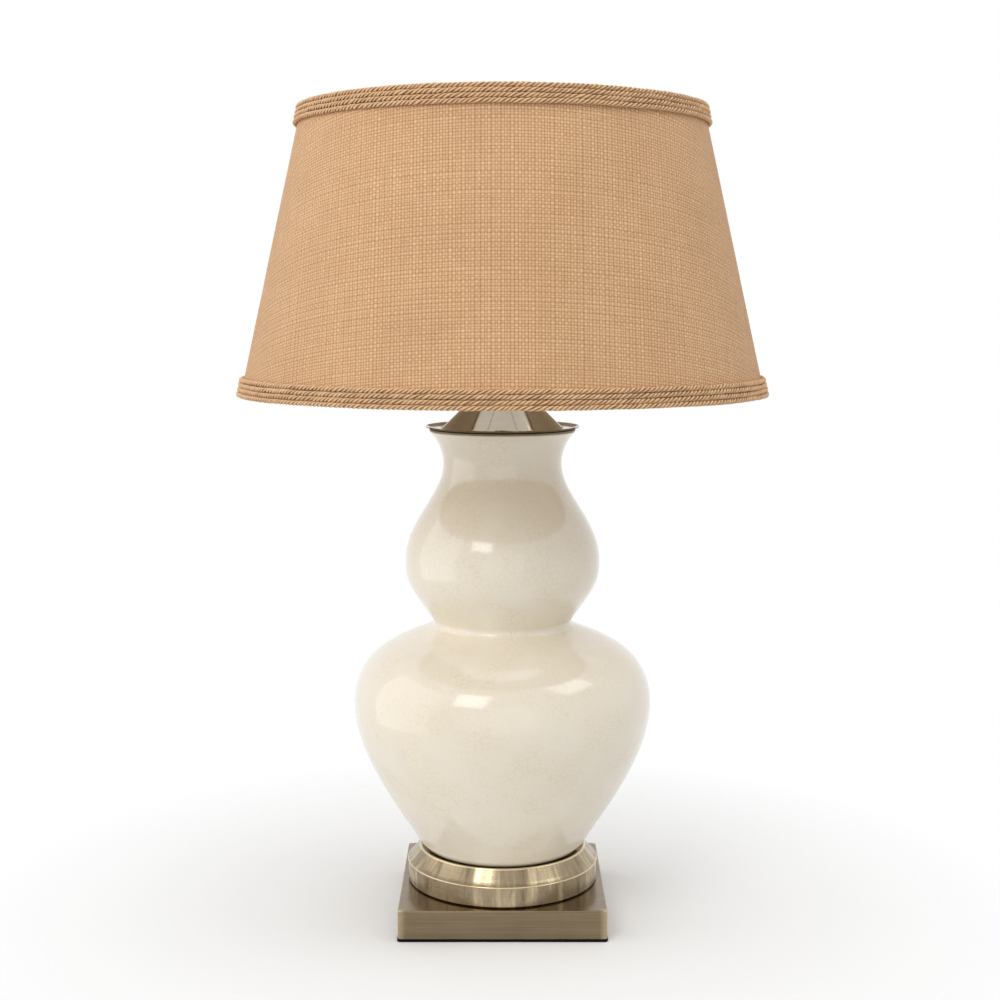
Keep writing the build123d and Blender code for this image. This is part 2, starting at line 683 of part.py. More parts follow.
with BuildPart() as socket_insulator:
    with BuildSketch(Plane.XY.offset(SHELL_BOTTOM)):
        ring_sketch(INSULATOR_INNER_R, INSULATOR_OUTER_R)
    extrude(amount=SCREW_SHELL_TOP - SHELL_BOTTOM)
    with BuildSketch(FRONT):
        Circle(SHAFT_SLOT_R)
        with Locations((0, -NOTCH_DEPTH / 2)):
            Rectangle(2 * SHAFT_SLOT_R, NOTCH_DEPTH)
    extrude(amount=INSULATOR_OUTER_R, mode=Mode.SUBTRACT)

# Moulded body with a flat at each side for a terminal and a bore for the shaft.
with BuildPart() as switch_body:
    with BuildSketch(Plane.XY.offset(SWITCH_BODY_BOTTOM)):
        Circle(SWITCH_BODY_R)
    extrude(amount=SWITCH_BODY_TOP - SWITCH_BODY_BOTTOM)
    chamfer(switch_body.edges().group_by(Axis.Z)[0], SWITCH_BODY_CHAMFER)
    for side in (-1, 1):
        flat_plane = Plane(origin=(side * TERMINAL_FLAT_X, 0, TERMINAL_Z), z_dir=(side, 0, 0))
        with BuildSketch(flat_plane):
            Rectangle(2 * SWITCH_BODY_R, TERMINAL_FLAT_H)
        extrude(amount=SWITCH_BODY_R, mode=Mode.SUBTRACT)
        with BuildSketch(flat_plane):
            Circle(TERMINAL_SHANK_R + THREAD_GAP)
        extrude(amount=-TERMINAL_SHANK_L - SEAT_GAP, mode=Mode.SUBTRACT)
    with BuildSketch(FRONT.offset(SHAFT_INNER_Y - SEAT_GAP)):
        Circle(SHAFT_R + THREAD_GAP)
    extrude(amount=SWITCH_BODY_R, mode=Mode.SUBTRACT)

with BuildPart() as terminal_screws:
    for side in (-1, 1):
        flat_plane = Plane(origin=(side * TERMINAL_FLAT_X, 0, TERMINAL_Z), z_dir=(side, 0, 0))
        with BuildSketch(flat_plane):
            Circle(TERMINAL_SHANK_R)
        extrude(amount=-TERMINAL_SHANK_L)
        with BuildSketch(flat_plane):
            Circle(TERMINAL_HEAD_R)
        extrude(amount=TERMINAL_HEAD_T)
        with BuildSketch(flat_plane.offset(TERMINAL_HEAD_T)):
            Rectangle(2 * TERMINAL_HEAD_R, TERMINAL_SLOT_W)
        extrude(amount=-TERMINAL_SLOT_DEPTH, mode=Mode.SUBTRACT)

# Drawn metal cup that takes the bulb's thread.
with BuildPart() as screw_shell:
    with BuildSketch(Plane.XY.offset(SWITCH_BODY_TOP)):
        ring_sketch(SCREW_SHELL_FLOOR_R, SCREW_SHELL_OUTER_R)
    extrude(amount=SCREW_SHELL_OUTER_R - SCREW_SHELL_INNER_R)
    with BuildSketch(Plane.XY.offset(SWITCH_BODY_TOP)):
        ring_sketch(SCREW_SHELL_INNER_R, SCREW_SHELL_OUTER_R)
    extrude(amount=SCREW_SHELL_TOP - SWITCH_BODY_TOP)

# Spring strip, humped under the bulb's tip.
with BuildPart() as centre_contact:
    strip_z = SWITCH_BODY_TOP + CONTACT_T / 2
    with BuildSketch(Plane.XZ):
        with BuildLine():
            FilletPolyline(
                (-CONTACT_HALF_L, strip_z),
                (-CONTACT_HALF_L / 2, strip_z),
                (-CONTACT_HALF_L / 4, strip_z + CONTACT_RISE),
                (CONTACT_HALF_L / 4, strip_z + CONTACT_RISE),
                (CONTACT_HALF_L / 2, strip_z),
                (CONTACT_HALF_L, strip_z),
                radius=CONTACT_BEND_R,
            )
        trace(line_width=CONTACT_T)
    extrude(amount=CONTACT_W / 2, both=True)

with BuildPart() as switch_shaft:
    with BuildSketch(FRONT.offset(SHAFT_INNER_Y)):
        Circle(SHAFT_R)
    extrude(amount=SHAFT_OUTER_Y - SHAFT_INNER_Y)

# Fluted knob, blind-bored for the shaft.
with BuildPart() as switch_knob:
    with BuildSketch(FRONT.offset(KNOB_NEAR_Y)):
        Circle(KNOB_R)
    extrude(amount=KNOB_FAR_Y - KNOB_NEAR_Y)
    chamfer(switch_knob.faces().sort_by(Axis.Y)[0].edges(), KNOB_FLUTE_R)
    with BuildSketch(FRONT.offset(KNOB_NEAR_Y)):
        with PolarLocations(KNOB_R, KNOB_FLUTES):
            Circle(KNOB_FLUTE_R)
    extrude(amount=KNOB_FAR_Y - KNOB_NEAR_Y, mode=Mode.SUBTRACT)
    with BuildSketch(FRONT.offset(KNOB_NEAR_Y)):
        Circle(SHAFT_R + THREAD_GAP / 2)
    extrude(amount=KNOB_SOCKET_END_Y - KNOB_NEAR_Y, mode=Mode.SUBTRACT)

# ================================================================ bulb
globe_angle = math.radians(GLOBE_TANGENT_ANGLE)
globe_joint = (
    GLOBE_R * math.cos(globe_angle),
    GLOBE_CENTRE_Z + GLOBE_R * math.sin(globe_angle),
)
bulb_neck = (BULB_NECK_R, BULB_NECK_Z)
with BuildPart() as bulb_globe:
    with BuildSketch(Plane.XZ):
        with BuildLine():
            Bezier(
                bulb_neck,
                pull(bulb_neck, 0, BULB_NECK_PULL),
                pull(globe_joint, -GLOBE_TANGENT_ANGLE, -BULB_FLARE_PULL),
                globe_joint,
            )
            CenterArc((0, GLOBE_CENTRE_Z), GLOBE_R, GLOBE_TANGENT_ANGLE, 90 - GLOBE_TANGENT_ANGLE)
            Polyline((0, GLOBE_TOP), (0, BULB_NECK_Z), bulb_neck)
        make_face()
    revolve(axis=Axis.Z)
    offset(amount=-GLOBE_WALL, openings=bulb_globe.faces().sort_by(Axis.Z)[0])

# Screw cap: straight barrel that turns in at its lower end.
with BuildPart() as bulb_screw_base:
    with BuildSketch(Plane.XZ):
        with BuildLine():
            Polyline(
                (BULB_BASE_LOW_R, BULB_BASE_BOTTOM),
                (BULB_BASE_R, BULB_BASE_CONE_Z),
                (BULB_BASE_R, BULB_BASE_TOP),
                (BULB_NECK_R + BULB_BASE_WALL, BULB_NECK_Z),
                (BULB_NECK_R - BULB_BASE_WALL, BULB_NECK_Z),
                (BULB_BASE_R - BULB_BASE_WALL, BULB_BASE_TOP),
                (BULB_BASE_R - BULB_BASE_WALL, BULB_BASE_CONE_Z),
                (BULB_BASE_LOW_R - BULB_BASE_WALL, BULB_BASE_BOTTOM),
                close=True,
            )
        make_face()
    revolve(axis=Axis.Z)

with BuildPart() as bulb_insulator:
    with BuildSketch(Plane.XZ):
        with BuildLine():
            Polyline(
                (0, TIP_Z + TIP_T),
                (TIP_R, TIP_Z + TIP_T),
                (BULB_BASE_LOW_R, BULB_BASE_BOTTOM),
                (0, BULB_BASE_BOTTOM),
                close=True,
            )
        make_face()
    revolve(axis=Axis.Z)

with BuildPart() as bulb_tip_contact:
    with BuildSketch(Plane.XY.offset(TIP_Z)):
        Circle(TIP_R)
    extrude(amount=TIP_T)
    fillet(bulb_tip_contact.edges().group_by(Axis.Z)[0], TIP_T / 2)

# ================================================================ shade
# Fabric folded round both rings: a lower hem, the tapered side and an upper hem.
cover_mid = COVER_T / 2
fold_top_outer = on_shade(RING_TOP_Z, cover_mid)
fold_top_centre = on_shade(RING_TOP_Z, cover_mid + FOLD_R)
fold_top_inner = on_shade(RING_TOP_Z, cover_mid + 2 * FOLD_R)
fold_bottom_outer = on_shade(RING_BOTTOM_Z, cover_mid)
fold_bottom_centre = on_shade(RING_BOTTOM_Z, cover_mid + FOLD_R)
fold_bottom_inner = on_shade(RING_BOTTOM_Z, cover_mid + 2 * FOLD_R)
with BuildPart() as shade_cover:
    with BuildSketch(Plane.XZ):
        with BuildLine():
            Line(up_shade(fold_bottom_inner, HEM), fold_bottom_inner)
            ThreePointArc(fold_bottom_inner, up_shade(fold_bottom_centre, -FOLD_R), fold_bottom_outer)
            Line(fold_bottom_outer, fold_top_outer)
            ThreePointArc(fold_top_outer, up_shade(fold_top_centre, FOLD_R), fold_top_inner)
            Line(fold_top_inner, up_shade(fold_top_inner, -HEM))
        trace(line_width=COVER_T)
    revolve(axis=Axis.Z)
    # The upper hem is notched where each arm passes through it.
    with BuildSketch(Plane.XY.offset(fold_top_centre[1] + ARM_WIRE_R + LOOSE_GAP)):
        with PolarLocations(fold_top_centre[0] - FOLD_R, ARM_COUNT, start_angle=ARM_FIRST_ANGLE):
            Rectangle(2 * FOLD_R, ARM_NOTCH_W)
    extrude(amount=-HEM - 2 * FOLD_R, mode=Mode.SUBTRACT)

# Stiff lampshade sheet, rolled into a cone between the folds.
liner_inset = COVER_T + LINER_GAP
with BuildPart() as shade_liner:
    with BuildSketch(Plane.XZ):
        with BuildLine():
            liner_low = on_shade(RING_BOTTOM_Z + 2 * FOLD_R, liner_inset)
            liner_high = on_shade(RING_TOP_Z - 2 * FOLD_R, liner_inset)
            liner_high_inner = on_shade(RING_TOP_Z - 2 * FOLD_R, liner_inset + LINER_T)
            liner_low_inner = on_shade(RING_BOTTOM_Z + 2 * FOLD_R, liner_inset + LINER_T)
            Polyline(liner_low, liner_high, liner_high_inner, liner_low_inner, close=True)
        make_face()
    revolve(axis=Axis.Z)

with BuildPart() as shade_bottom_ring:
    with BuildSketch(Plane.XZ):
        with Locations(fold_bottom_centre):
            Circle(RING_WIRE_R)
    revolve(axis=Axis.Z)

# Welded wire fitting: hub washer, arms that rise from it and the top ring.
with BuildPart() as shade_spider:
    with BuildSketch(Plane.XY.offset(HUB_BOTTOM)):
        ring_sketch(HUB_HOLE_R, HUB_R)
    extrude(amount=HUB_T)
    fillet(shade_spider.edges().group_by(Axis.Z)[-1], HUB_EDGE_R)
    with BuildSketch(Plane.XZ):
        with Locations(fold_top_centre):
            Circle(RING_WIRE_R)
    revolve(axis=Axis.Z)
    arm_z = HUB_BOTTOM + HUB_T / 2
    for index in range(ARM_COUNT):
        heading = math.radians(ARM_FIRST_ANGLE + index * 360 / ARM_COUNT)
        outward = Vector(math.cos(heading), math.sin(heading), 0)
        arm_plane = Plane(origin=(0, 0, 0), x_dir=outward, z_dir=outward.cross(Vector(0, 0, 1)))
        with BuildLine(arm_plane) as arm_path:
            FilletPolyline(
                (HUB_R - ARM_WIRE_R, arm_z),
                (ARM_BEND_RADIUS, arm_z),
                (fold_top_centre[0] - RING_WIRE_R / 2, fold_top_centre[1]),
                radius=ARM_BEND_R,
            )
        with BuildSketch(Plane(origin=arm_path.wire() @ 0, z_dir=arm_path.wire() % 0)):
            Circle(ARM_WIRE_R)
        sweep(path=arm_path.wire())


def rope_band(lowest_row_z):
    """Section of the trim: twisted cords side by side, lying on the cover."""
    first = on_shade(lowest_row_z, -ROPE_D / 2)
    for row in range(ROPE_ROWS):
        with Locations(up_shade(first, row * ROPE_PITCH)):
            Circle(ROPE_D / 2)


# Each trim starts and ends at the seam at the back.
ROPE_STACK = (ROPE_ROWS - 1) * ROPE_PITCH * math.cos(SHADE_LEAN)
ROPE_OFFSET = ROPE_D / 2 * (1 - math.sin(SHADE_LEAN))
SEAM_PLANE = Plane(origin=(0, 0, 0), x_dir=(0, 1, 0), z_dir=(1, 0, 0))
top_seam = math.degrees(TRIM_SEAM_GAP / COVER_TOP_R)
with BuildPart() as top_rope_trim:
    with BuildSketch(SEAM_PLANE):
        rope_band(SHADE_TOP_Z - ROPE_STACK - ROPE_D + ROPE_OFFSET)
    revolve(axis=Axis.Z, revolution_arc=360 - top_seam)

bottom_seam = math.degrees(TRIM_SEAM_GAP / COVER_BOTTOM_R)
with BuildPart() as bottom_rope_trim:
    with BuildSketch(SEAM_PLANE):
        rope_band(SHADE_BOTTOM_Z + ROPE_OFFSET)
    revolve(axis=Axis.Z, revolution_arc=360 - bottom_seam)

# Turned finial: flange on the hub, slim neck, ball; blind-bored for the stud.
with BuildPart() as finial:
    ball_z = FINIAL_BOTTOM + FINIAL_H - FINIAL_BALL_R
    with BuildSketch(Plane.XZ):
        with BuildLine():
            Polyline(
                (0, FINIAL_BOTTOM),
                (FINIAL_FLANGE_R, FINIAL_BOTTOM),
                (FINIAL_FLANGE_R, FINIAL_BOTTOM + FINIAL_FLANGE_T),
            )
            neck_top = (FINIAL_NECK_R, FINIAL_BOTTOM + FINIAL_NECK_H)
            ball_angle = -math.degrees(math.acos(FINIAL_NECK_R / FINIAL_BALL_R))
            ball_arc = CenterArc((0, ball_z), FINIAL_BALL_R, ball_angle, 90 - ball_angle)
            Bezier(
                (FINIAL_FLANGE_R, FINIAL_BOTTOM + FINIAL_FLANGE_T),
                (FINIAL_NECK_R, FINIAL_BOTTOM + FINIAL_FLANGE_T),
                ball_arc @ 0,
            )
            Line((0, FINIAL_BOTTOM + FINIAL_H), (0, FINIAL_BOTTOM))
        make_face()
    revolve(axis=Axis.Z)
    fillet(finial.edges().group_by(Axis.Z)[0], FINIAL_EDGE_R)
    with BuildSketch(Plane.XY.offset(FINIAL_BOTTOM)):
        Circle(STUD_R + THREAD_GAP)
    extrude(amount=FINIAL_BORE_DEPTH, mode=Mode.SUBTRACT)

# ================================================================ output
pieces = {
    "base_felt": base_felt,
    "base_board": base_board,
    "plinth": plinth,
    "cord_bushing": cord_bushing,
    "threaded_rod": threaded_rod,
    "rod_washer": rod_washer,
    "rod_lock_washer": rod_lock_washer,
    "rod_nut": rod_nut,
    "pedestal_ring": pedestal_ring,
    "foot_gasket": foot_gasket,
    "ceramic_body": ceramic_body,
    "cap_gasket": cap_gasket,
    "vase_cap": vase_cap,
    "cap_neck": cap_neck,
    "harp_saddle": harp_saddle,
    "harp_frame": harp_frame,
    "harp_stud": harp_stud,
    "socket_cap": socket_cap,
    "socket_set_screw": socket_set_screw,
    "socket_shell": socket_shell,
    "socket_insulator": socket_insulator,
    "switch_body": switch_body,
    "terminal_screws": terminal_screws,
    "screw_shell": screw_shell,
    "centre_contact": centre_contact,
    "switch_shaft": switch_shaft,
    "switch_knob": switch_knob,
    "bulb_globe": bulb_globe,
    "bulb_screw_base": bulb_screw_base,
    "bulb_insulator": bulb_insulator,
    "bulb_tip_contact": bulb_tip_contact,
    "shade_cover": shade_cover,
    "shade_liner": shade_liner,
    "shade_bottom_ring": shade_bottom_ring,
    "shade_spider": shade_spider,
    "top_rope_trim": top_rope_trim,
    "bottom_rope_trim": bottom_rope_trim,
    "finial": finial,
}
for name, builder in pieces.items():
    builder.part.label = name
    export_step(builder.part, f"parts/{name}.step")
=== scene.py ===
"""Looks of the double gourd lamp, built round its fixed frame.

Units are metres, Z is up and the camera looks along +Y. The metal, ceramic and electrical pieces keep their frame
nodes and get their finishes here. The burlap, its rope trims and the felt are made here.
"""

import json
import logging
import math
from dataclasses import dataclass
from enum import Enum
from typing import Any, Callable, Dict, List, Optional, Sequence, Tuple, Union

import bpy
import numpy as np
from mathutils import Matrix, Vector


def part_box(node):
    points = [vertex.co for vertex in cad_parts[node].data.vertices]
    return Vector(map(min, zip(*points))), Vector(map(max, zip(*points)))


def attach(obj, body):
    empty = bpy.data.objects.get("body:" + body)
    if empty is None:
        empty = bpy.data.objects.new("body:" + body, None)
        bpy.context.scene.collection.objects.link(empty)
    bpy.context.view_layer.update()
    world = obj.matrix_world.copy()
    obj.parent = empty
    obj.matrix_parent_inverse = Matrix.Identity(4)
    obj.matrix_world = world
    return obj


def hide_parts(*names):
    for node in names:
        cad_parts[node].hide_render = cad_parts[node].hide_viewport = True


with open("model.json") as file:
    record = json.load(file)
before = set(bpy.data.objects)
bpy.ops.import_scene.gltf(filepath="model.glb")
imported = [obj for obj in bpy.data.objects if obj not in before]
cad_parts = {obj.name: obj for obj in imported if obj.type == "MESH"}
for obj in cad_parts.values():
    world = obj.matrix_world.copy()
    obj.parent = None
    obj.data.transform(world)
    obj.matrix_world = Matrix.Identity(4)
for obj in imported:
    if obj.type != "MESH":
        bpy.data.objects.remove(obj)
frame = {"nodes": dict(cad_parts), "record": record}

log = logging.getLogger("gourd_lamp")

Colour = Tuple[float, float, float, float]
MM = 0.001
TURN = 2 * math.pi
YARNS_A_UNIT = 1000.0


def rgb(red: int, green: int, blue: int) -> Colour:
    """Turns a colour as it is seen, 0 to 255 a channel, into Blender's linear values.

    Args:
        red: Red, 0 to 255.
        green: Green, 0 to 255.
        blue: Blue, 0 to 255.

    Returns:
        The linear colour with full alpha.
    """
    seen = [channel / 255 for channel in (red, green, blue)]
    linear = [c / 12.92 if c <= 0.04045 else ((c + 0.055) / 1.055) ** 2.4 for c in seen]
    return (linear[0], linear[1], linear[2], 1.0)


# ---------------------------------------------------------------- node graphs


def operator(operation: str, swapped: bool = False) -> Callable[["Signal", Any], "Signal"]:
    """Makes the method behind one of Python's operators.

    Args:
        operation: The Math node's operation.
        swapped: True for the reflected form, with the signal last.

    Returns:
        The method.
    """

    def method(signal: "Signal", other: Any) -> "Signal":
        """Adds the operator's Math node."""
        return signal.math(operation, other, swapped=swapped)

    return method


class Signal:
    """A node's output socket that takes part in arithmetic."""

    def __init__(self, graph: "Graph", socket: bpy.types.NodeSocket) -> None:
        """Wraps a socket of a graph."""
        self.graph = graph
        self.socket = socket

    def math(self, operation: str, *others: Any, swapped: bool = False) -> "Signal":
        """Adds a Math node.

        Args:
            operation: The Math node's operation.
            others: The other operands, as signals or numbers.
            swapped: True puts this signal last.

        Returns:
            The node's result.
        """
        operands = [*others, self] if swapped else [self, *others]
        node = self.graph.node("ShaderNodeMath", {"operation": operation}, dict(enumerate(operands)))
        return Signal(self.graph, node.outputs[0])

    __add__ = __radd__ = operator("ADD")
    __sub__, __rsub__ = operator("SUBTRACT"), operator("SUBTRACT", swapped=True)
    __mul__ = __rmul__ = operator("MULTIPLY")
    __truediv__, __rtruediv__ = operator("DIVIDE"), operator("DIVIDE", swapped=True)
    __pow__ = operator("POWER")

    def clamped(self) -> "Signal":
        """The signal held between 0 and 1."""
        return self.math("MAXIMUM", 0.0).math("MINIMUM", 1.0)

    def between(self, low: float, high: float) -> "Signal":
        """The signal stretched so that low gives 0 and high gives 1, and held there."""
        return ((self - low) / (high - low)).clamped()


Value = Union[Signal, float, int, str, Sequence[float], bpy.types.ID]


class Graph:
    """A shader or geometry node tree under construction."""

    def __init__(self, tree: bpy.types.NodeTree) -> None:
        """Starts on a node tree."""
        self.tree = tree

    @classmethod
    def emptied(cls, owner: Union[bpy.types.Material, bpy.types.World]) -> "Graph":
        """Starts on the shader tree of a material or a world, with nothing in it.

        Args:
            owner: The material or world.

        Returns:
            The empty graph.
        """
        owner.use_nodes = True
        owner.node_tree.nodes.clear()
        return cls(owner.node_tree)

    def node(
        self, kind: str, settings: Optional[Dict[str, Any]] = None, inputs: Optional[Dict[Any, Value]] = None
    ) -> bpy.types.Node:
        """Adds a node, sets its settings and then its sockets.

        Args:
            kind: The node's type.
            settings: Its settings by name.
            inputs: Values or signals by the socket's name or number.

        Returns:
            The node.
        """
        node = self.tree.nodes.new(kind)
        for name, value in (settings or {}).items():
            setattr(node, name, value)
        for key, value in (inputs or {}).items():
            if isinstance(value, Signal):
                self.tree.links.new(value.socket, node.inputs[key])
            else:
                node.inputs[key].default_value = value
        return node

    def out(
        self, kind: str, output: Union[str, int] = 0, settings: Optional[Dict[str, Any]] = None, **inputs: Value
    ) -> Signal:
        """Adds a node and returns one of its outputs; underscores in input names stand for spaces."""
        named = {name.replace("_", " "): value for name, value in inputs.items()}
        return Signal(self, self.node(kind, settings, named).outputs[output])

    def combine(self, x: Value, y: Value, z: Value = 0.0) -> Signal:
        """Makes a vector of three numbers."""
        return Signal(self, self.node("ShaderNodeCombineXYZ", None, {0: x, 1: y, 2: z}).outputs[0])

    def split(self, vector: Signal) -> Tuple[Signal, Signal, Signal]:
        """The three numbers of a vector."""
        node = self.node("ShaderNodeSeparateXYZ", None, {0: vector})
        return tuple(Signal(self, socket) for socket in node.outputs)  # type: ignore[return-value]

    def scaled(self, vector: Signal, factors: Sequence[float]) -> Signal:
        """The vector times three factors."""
        node = self.node("ShaderNodeVectorMath", {"operation": "MULTIPLY"}, {0: vector, 1: factors})
        return Signal(self, node.outputs[0])

    def mix(self, first: Value, second: Value, factor: Value, blend: str = "MIX") -> Signal:
        """Blends two colours; the node holds the factor between 0 and 1."""
        node = self.node("ShaderNodeMix", {"data_type": "RGBA", "blend_type": blend}, {0: factor, 6: first, 7: second})
        return Signal(self, node.outputs[2])

    def noise(self, vector: Signal, scale: float, detail: float = 3.0, roughness: float = 0.55) -> Signal:
        """Cloudy noise between about 0 and 1."""
        return self.out("ShaderNodeTexNoise", 0, None, Vector=vector, Scale=scale, Detail=detail, Roughness=roughness)

    def bump(self, height: Signal, depth: float, strength: float = 1.0, under: Optional[Signal] = None) -> Signal:
        """Makes a normal.

        Args:
            height: A height of 0 to 1.
            depth: What a height of 1 stands for, in metres.
            strength: Share of the slope that is kept.
            under: The normal that this one adds to, if any.

        Returns:
            The normal.
        """
        inputs: Dict[Any, Value] = {"Height": height, "Distance": depth, "Strength": strength}
        if under is not None:
            inputs["Normal"] = under
        return Signal(self, self.node("ShaderNodeBump", None, inputs).outputs[0])

    def here(self) -> Signal:
        """The point in the piece's own coordinates, in metres."""
        return self.out("ShaderNodeTexCoord", "Object")


# ---------------------------------------------------------------- finishes


@dataclass(frozen=True)
class Finish:
    """Common part of every finish: a name and what makes its material."""

    name: str

    def constants(self) -> Dict[str, Value]:
        """The values that are the same all over the surface."""
        return {}

    def varying(self, _: Graph) -> Dict[str, Signal]:
        """The sockets that vary over the surface."""
        return {}

    def material(self) -> bpy.types.Material:
        """Builds the finish, unless it is there already.

        Returns:
            Its material.
        """
        title = self.name + "_finish"
        known = bpy.data.materials.get(title)
        if known:
            return known
        made = bpy.data.materials.new(title)
        graph = Graph.emptied(made)
        shader = graph.node("ShaderNodeBsdfPrincipled", None, {**self.constants(), **self.varying(graph)})
        graph.node("ShaderNodeOutputMaterial", None, {"Surface": Signal(graph, shader.outputs[0])})
        return made


class Grain(Enum):
    """How a metal piece was finished."""

    TURNED = "turned on a lathe"
    BRUSHED = "brushed along X"
    DRAWN = "drawn or rolled"


@dataclass(frozen=True)
class Metal(Finish):
    """Worn, slightly tarnished metal with the fine lines of its making; brushed pieces get painted highlights at their
    corners, and turned pieces can get painted highlight rings and painted reflection streaks.
    """

    colour: Colour = (0.8, 0.8, 0.8, 1.0)
    # The tarnished colour; the painted reflection streaks of turned pieces also use it as their dark part.
    tarnish_and_dark_reflection: Colour = (0.4, 0.4, 0.4, 1.0)
    grain: Grain = Grain.DRAWN
    roughness: float = 0.25
    line_depth: float = 0.02 * MM
    lines_per_metre: float = 900.0
    anisotropy: float = 0.0
    tarnish_share: float = 0.35
    line_share: float = 0.25
    # The light colour of the painted highlights: brushed corners, highlight rings and the light part of the reflection
    # streaks.
    edge: Colour = rgb(206, 186, 150)
    corner_highlight_from: float = 84.5 * MM
    corner_highlight_to: float = 90.5 * MM
    painted_highlight_rings: Tuple[Tuple[float, float], ...] = ()
    painted_reflection_streaks: float = 0.0

    def constants(self) -> Dict[str, Value]:
        """Metal all over, with the streaky gloss of its lines."""
        return {"Metallic": 1.0, "Anisotropic": self.anisotropy, "Anisotropic Rotation": 0.25}

    def lines(self, graph: Graph) -> Signal:
        """The fine lines that the tool left.

        Args:
            graph: The material's graph.

        Returns:
            Their depth, 0 to 1.
        """
        x, y, z = graph.split(graph.here())
        if self.grain is Grain.TURNED:
            radius = (x * x + y * y) ** 0.5
            angle = y.math("ARCTAN2", x)
            along = graph.combine(radius * self.lines_per_metre, z * self.lines_per_metre, angle * 1.5)
            return graph.noise(along, 1.0, 4.0, 0.7)
        if self.grain is Grain.BRUSHED:
            facing = graph.split(graph.out("ShaderNodeNewGeometry", "Normal"))[2].math("ABSOLUTE")
            level = facing.math("GREATER_THAN", 0.5)
            fine, coarse = self.lines_per_metre, 9.0
            gain = level * (fine - coarse)
            across = graph.combine(x * coarse, y * (coarse + gain), z * (fine - gain))
            return graph.noise(across, 1.0, 4.0, 0.72)
        return graph.noise(graph.here(), self.lines_per_metre, 3.0, 0.6)

    def varying(self, graph: Graph) -> Dict[str, Signal]:
        """Lines in the gloss and colour, soft tarnishing, and the painted highlights and reflection streaks.

        Args:
            graph: The material's graph.

        Returns:
            Signals by socket name.
        """
        lines = self.lines(graph)
        clouds = graph.noise(graph.here(), 22.0, 5.0, 0.62)
        spots = graph.noise(graph.here(), 310.0, 2.0, 0.5)
        worn = clouds.between(0.42, 0.72) * self.tarnish_share + lines.between(0.35, 0.75) * self.line_share
        rough = self.roughness + (lines - 0.5) * 0.16 + clouds.between(0.4, 0.7) * 0.05 + (spots - 0.5) * 0.03
        colour = graph.mix(self.colour, self.tarnish_and_dark_reflection, worn)
        if self.grain is Grain.BRUSHED:
            # Painted highlight: the upright corners of a brushed piece are coloured towards the light edge colour,
            # where its rounded bends catch the light.
            x, y, _ = graph.split(graph.here())
            corner = x.math("ABSOLUTE").math("MINIMUM", y.math("ABSOLUTE")).between(self.corner_highlight_from, self.corner_highlight_to)
            colour = graph.mix(colour, self.edge, corner * (0.4 + clouds.between(0.3, 0.6) * 0.4))
        if self.grain is Grain.TURNED:
            x, y, z = graph.split(graph.here())
            angle = y.math("ARCTAN2", x)
            # Painted reflection: light and dark streaks round a turned piece, mixed towards the light edge colour and
            # the dark tarnished colour.
            streaks = graph.noise(graph.combine(angle * 5.0, z * 9.0), 1.0, 4.0, 0.65)
            colour = graph.mix(colour, self.edge, streaks.between(0.52, 0.66) * self.painted_reflection_streaks)
            colour = graph.mix(colour, self.tarnish_and_dark_reflection, (1.0 - streaks.between(0.36, 0.46)) * self.painted_reflection_streaks)
            # Painted highlight: light rings at the given heights, where a bead or rim catches the light.
            for height, reach in self.painted_highlight_rings:
                near = 1.0 - ((z - height).math("ABSOLUTE")).between(reach * 0.5, reach)
                colour = graph.mix(colour, self.edge, near * 0.85)
        return {"Base Color": colour, "Roughness": rough.clamped(), "Normal": graph.bump(lines, self.line_depth, 0.6)}


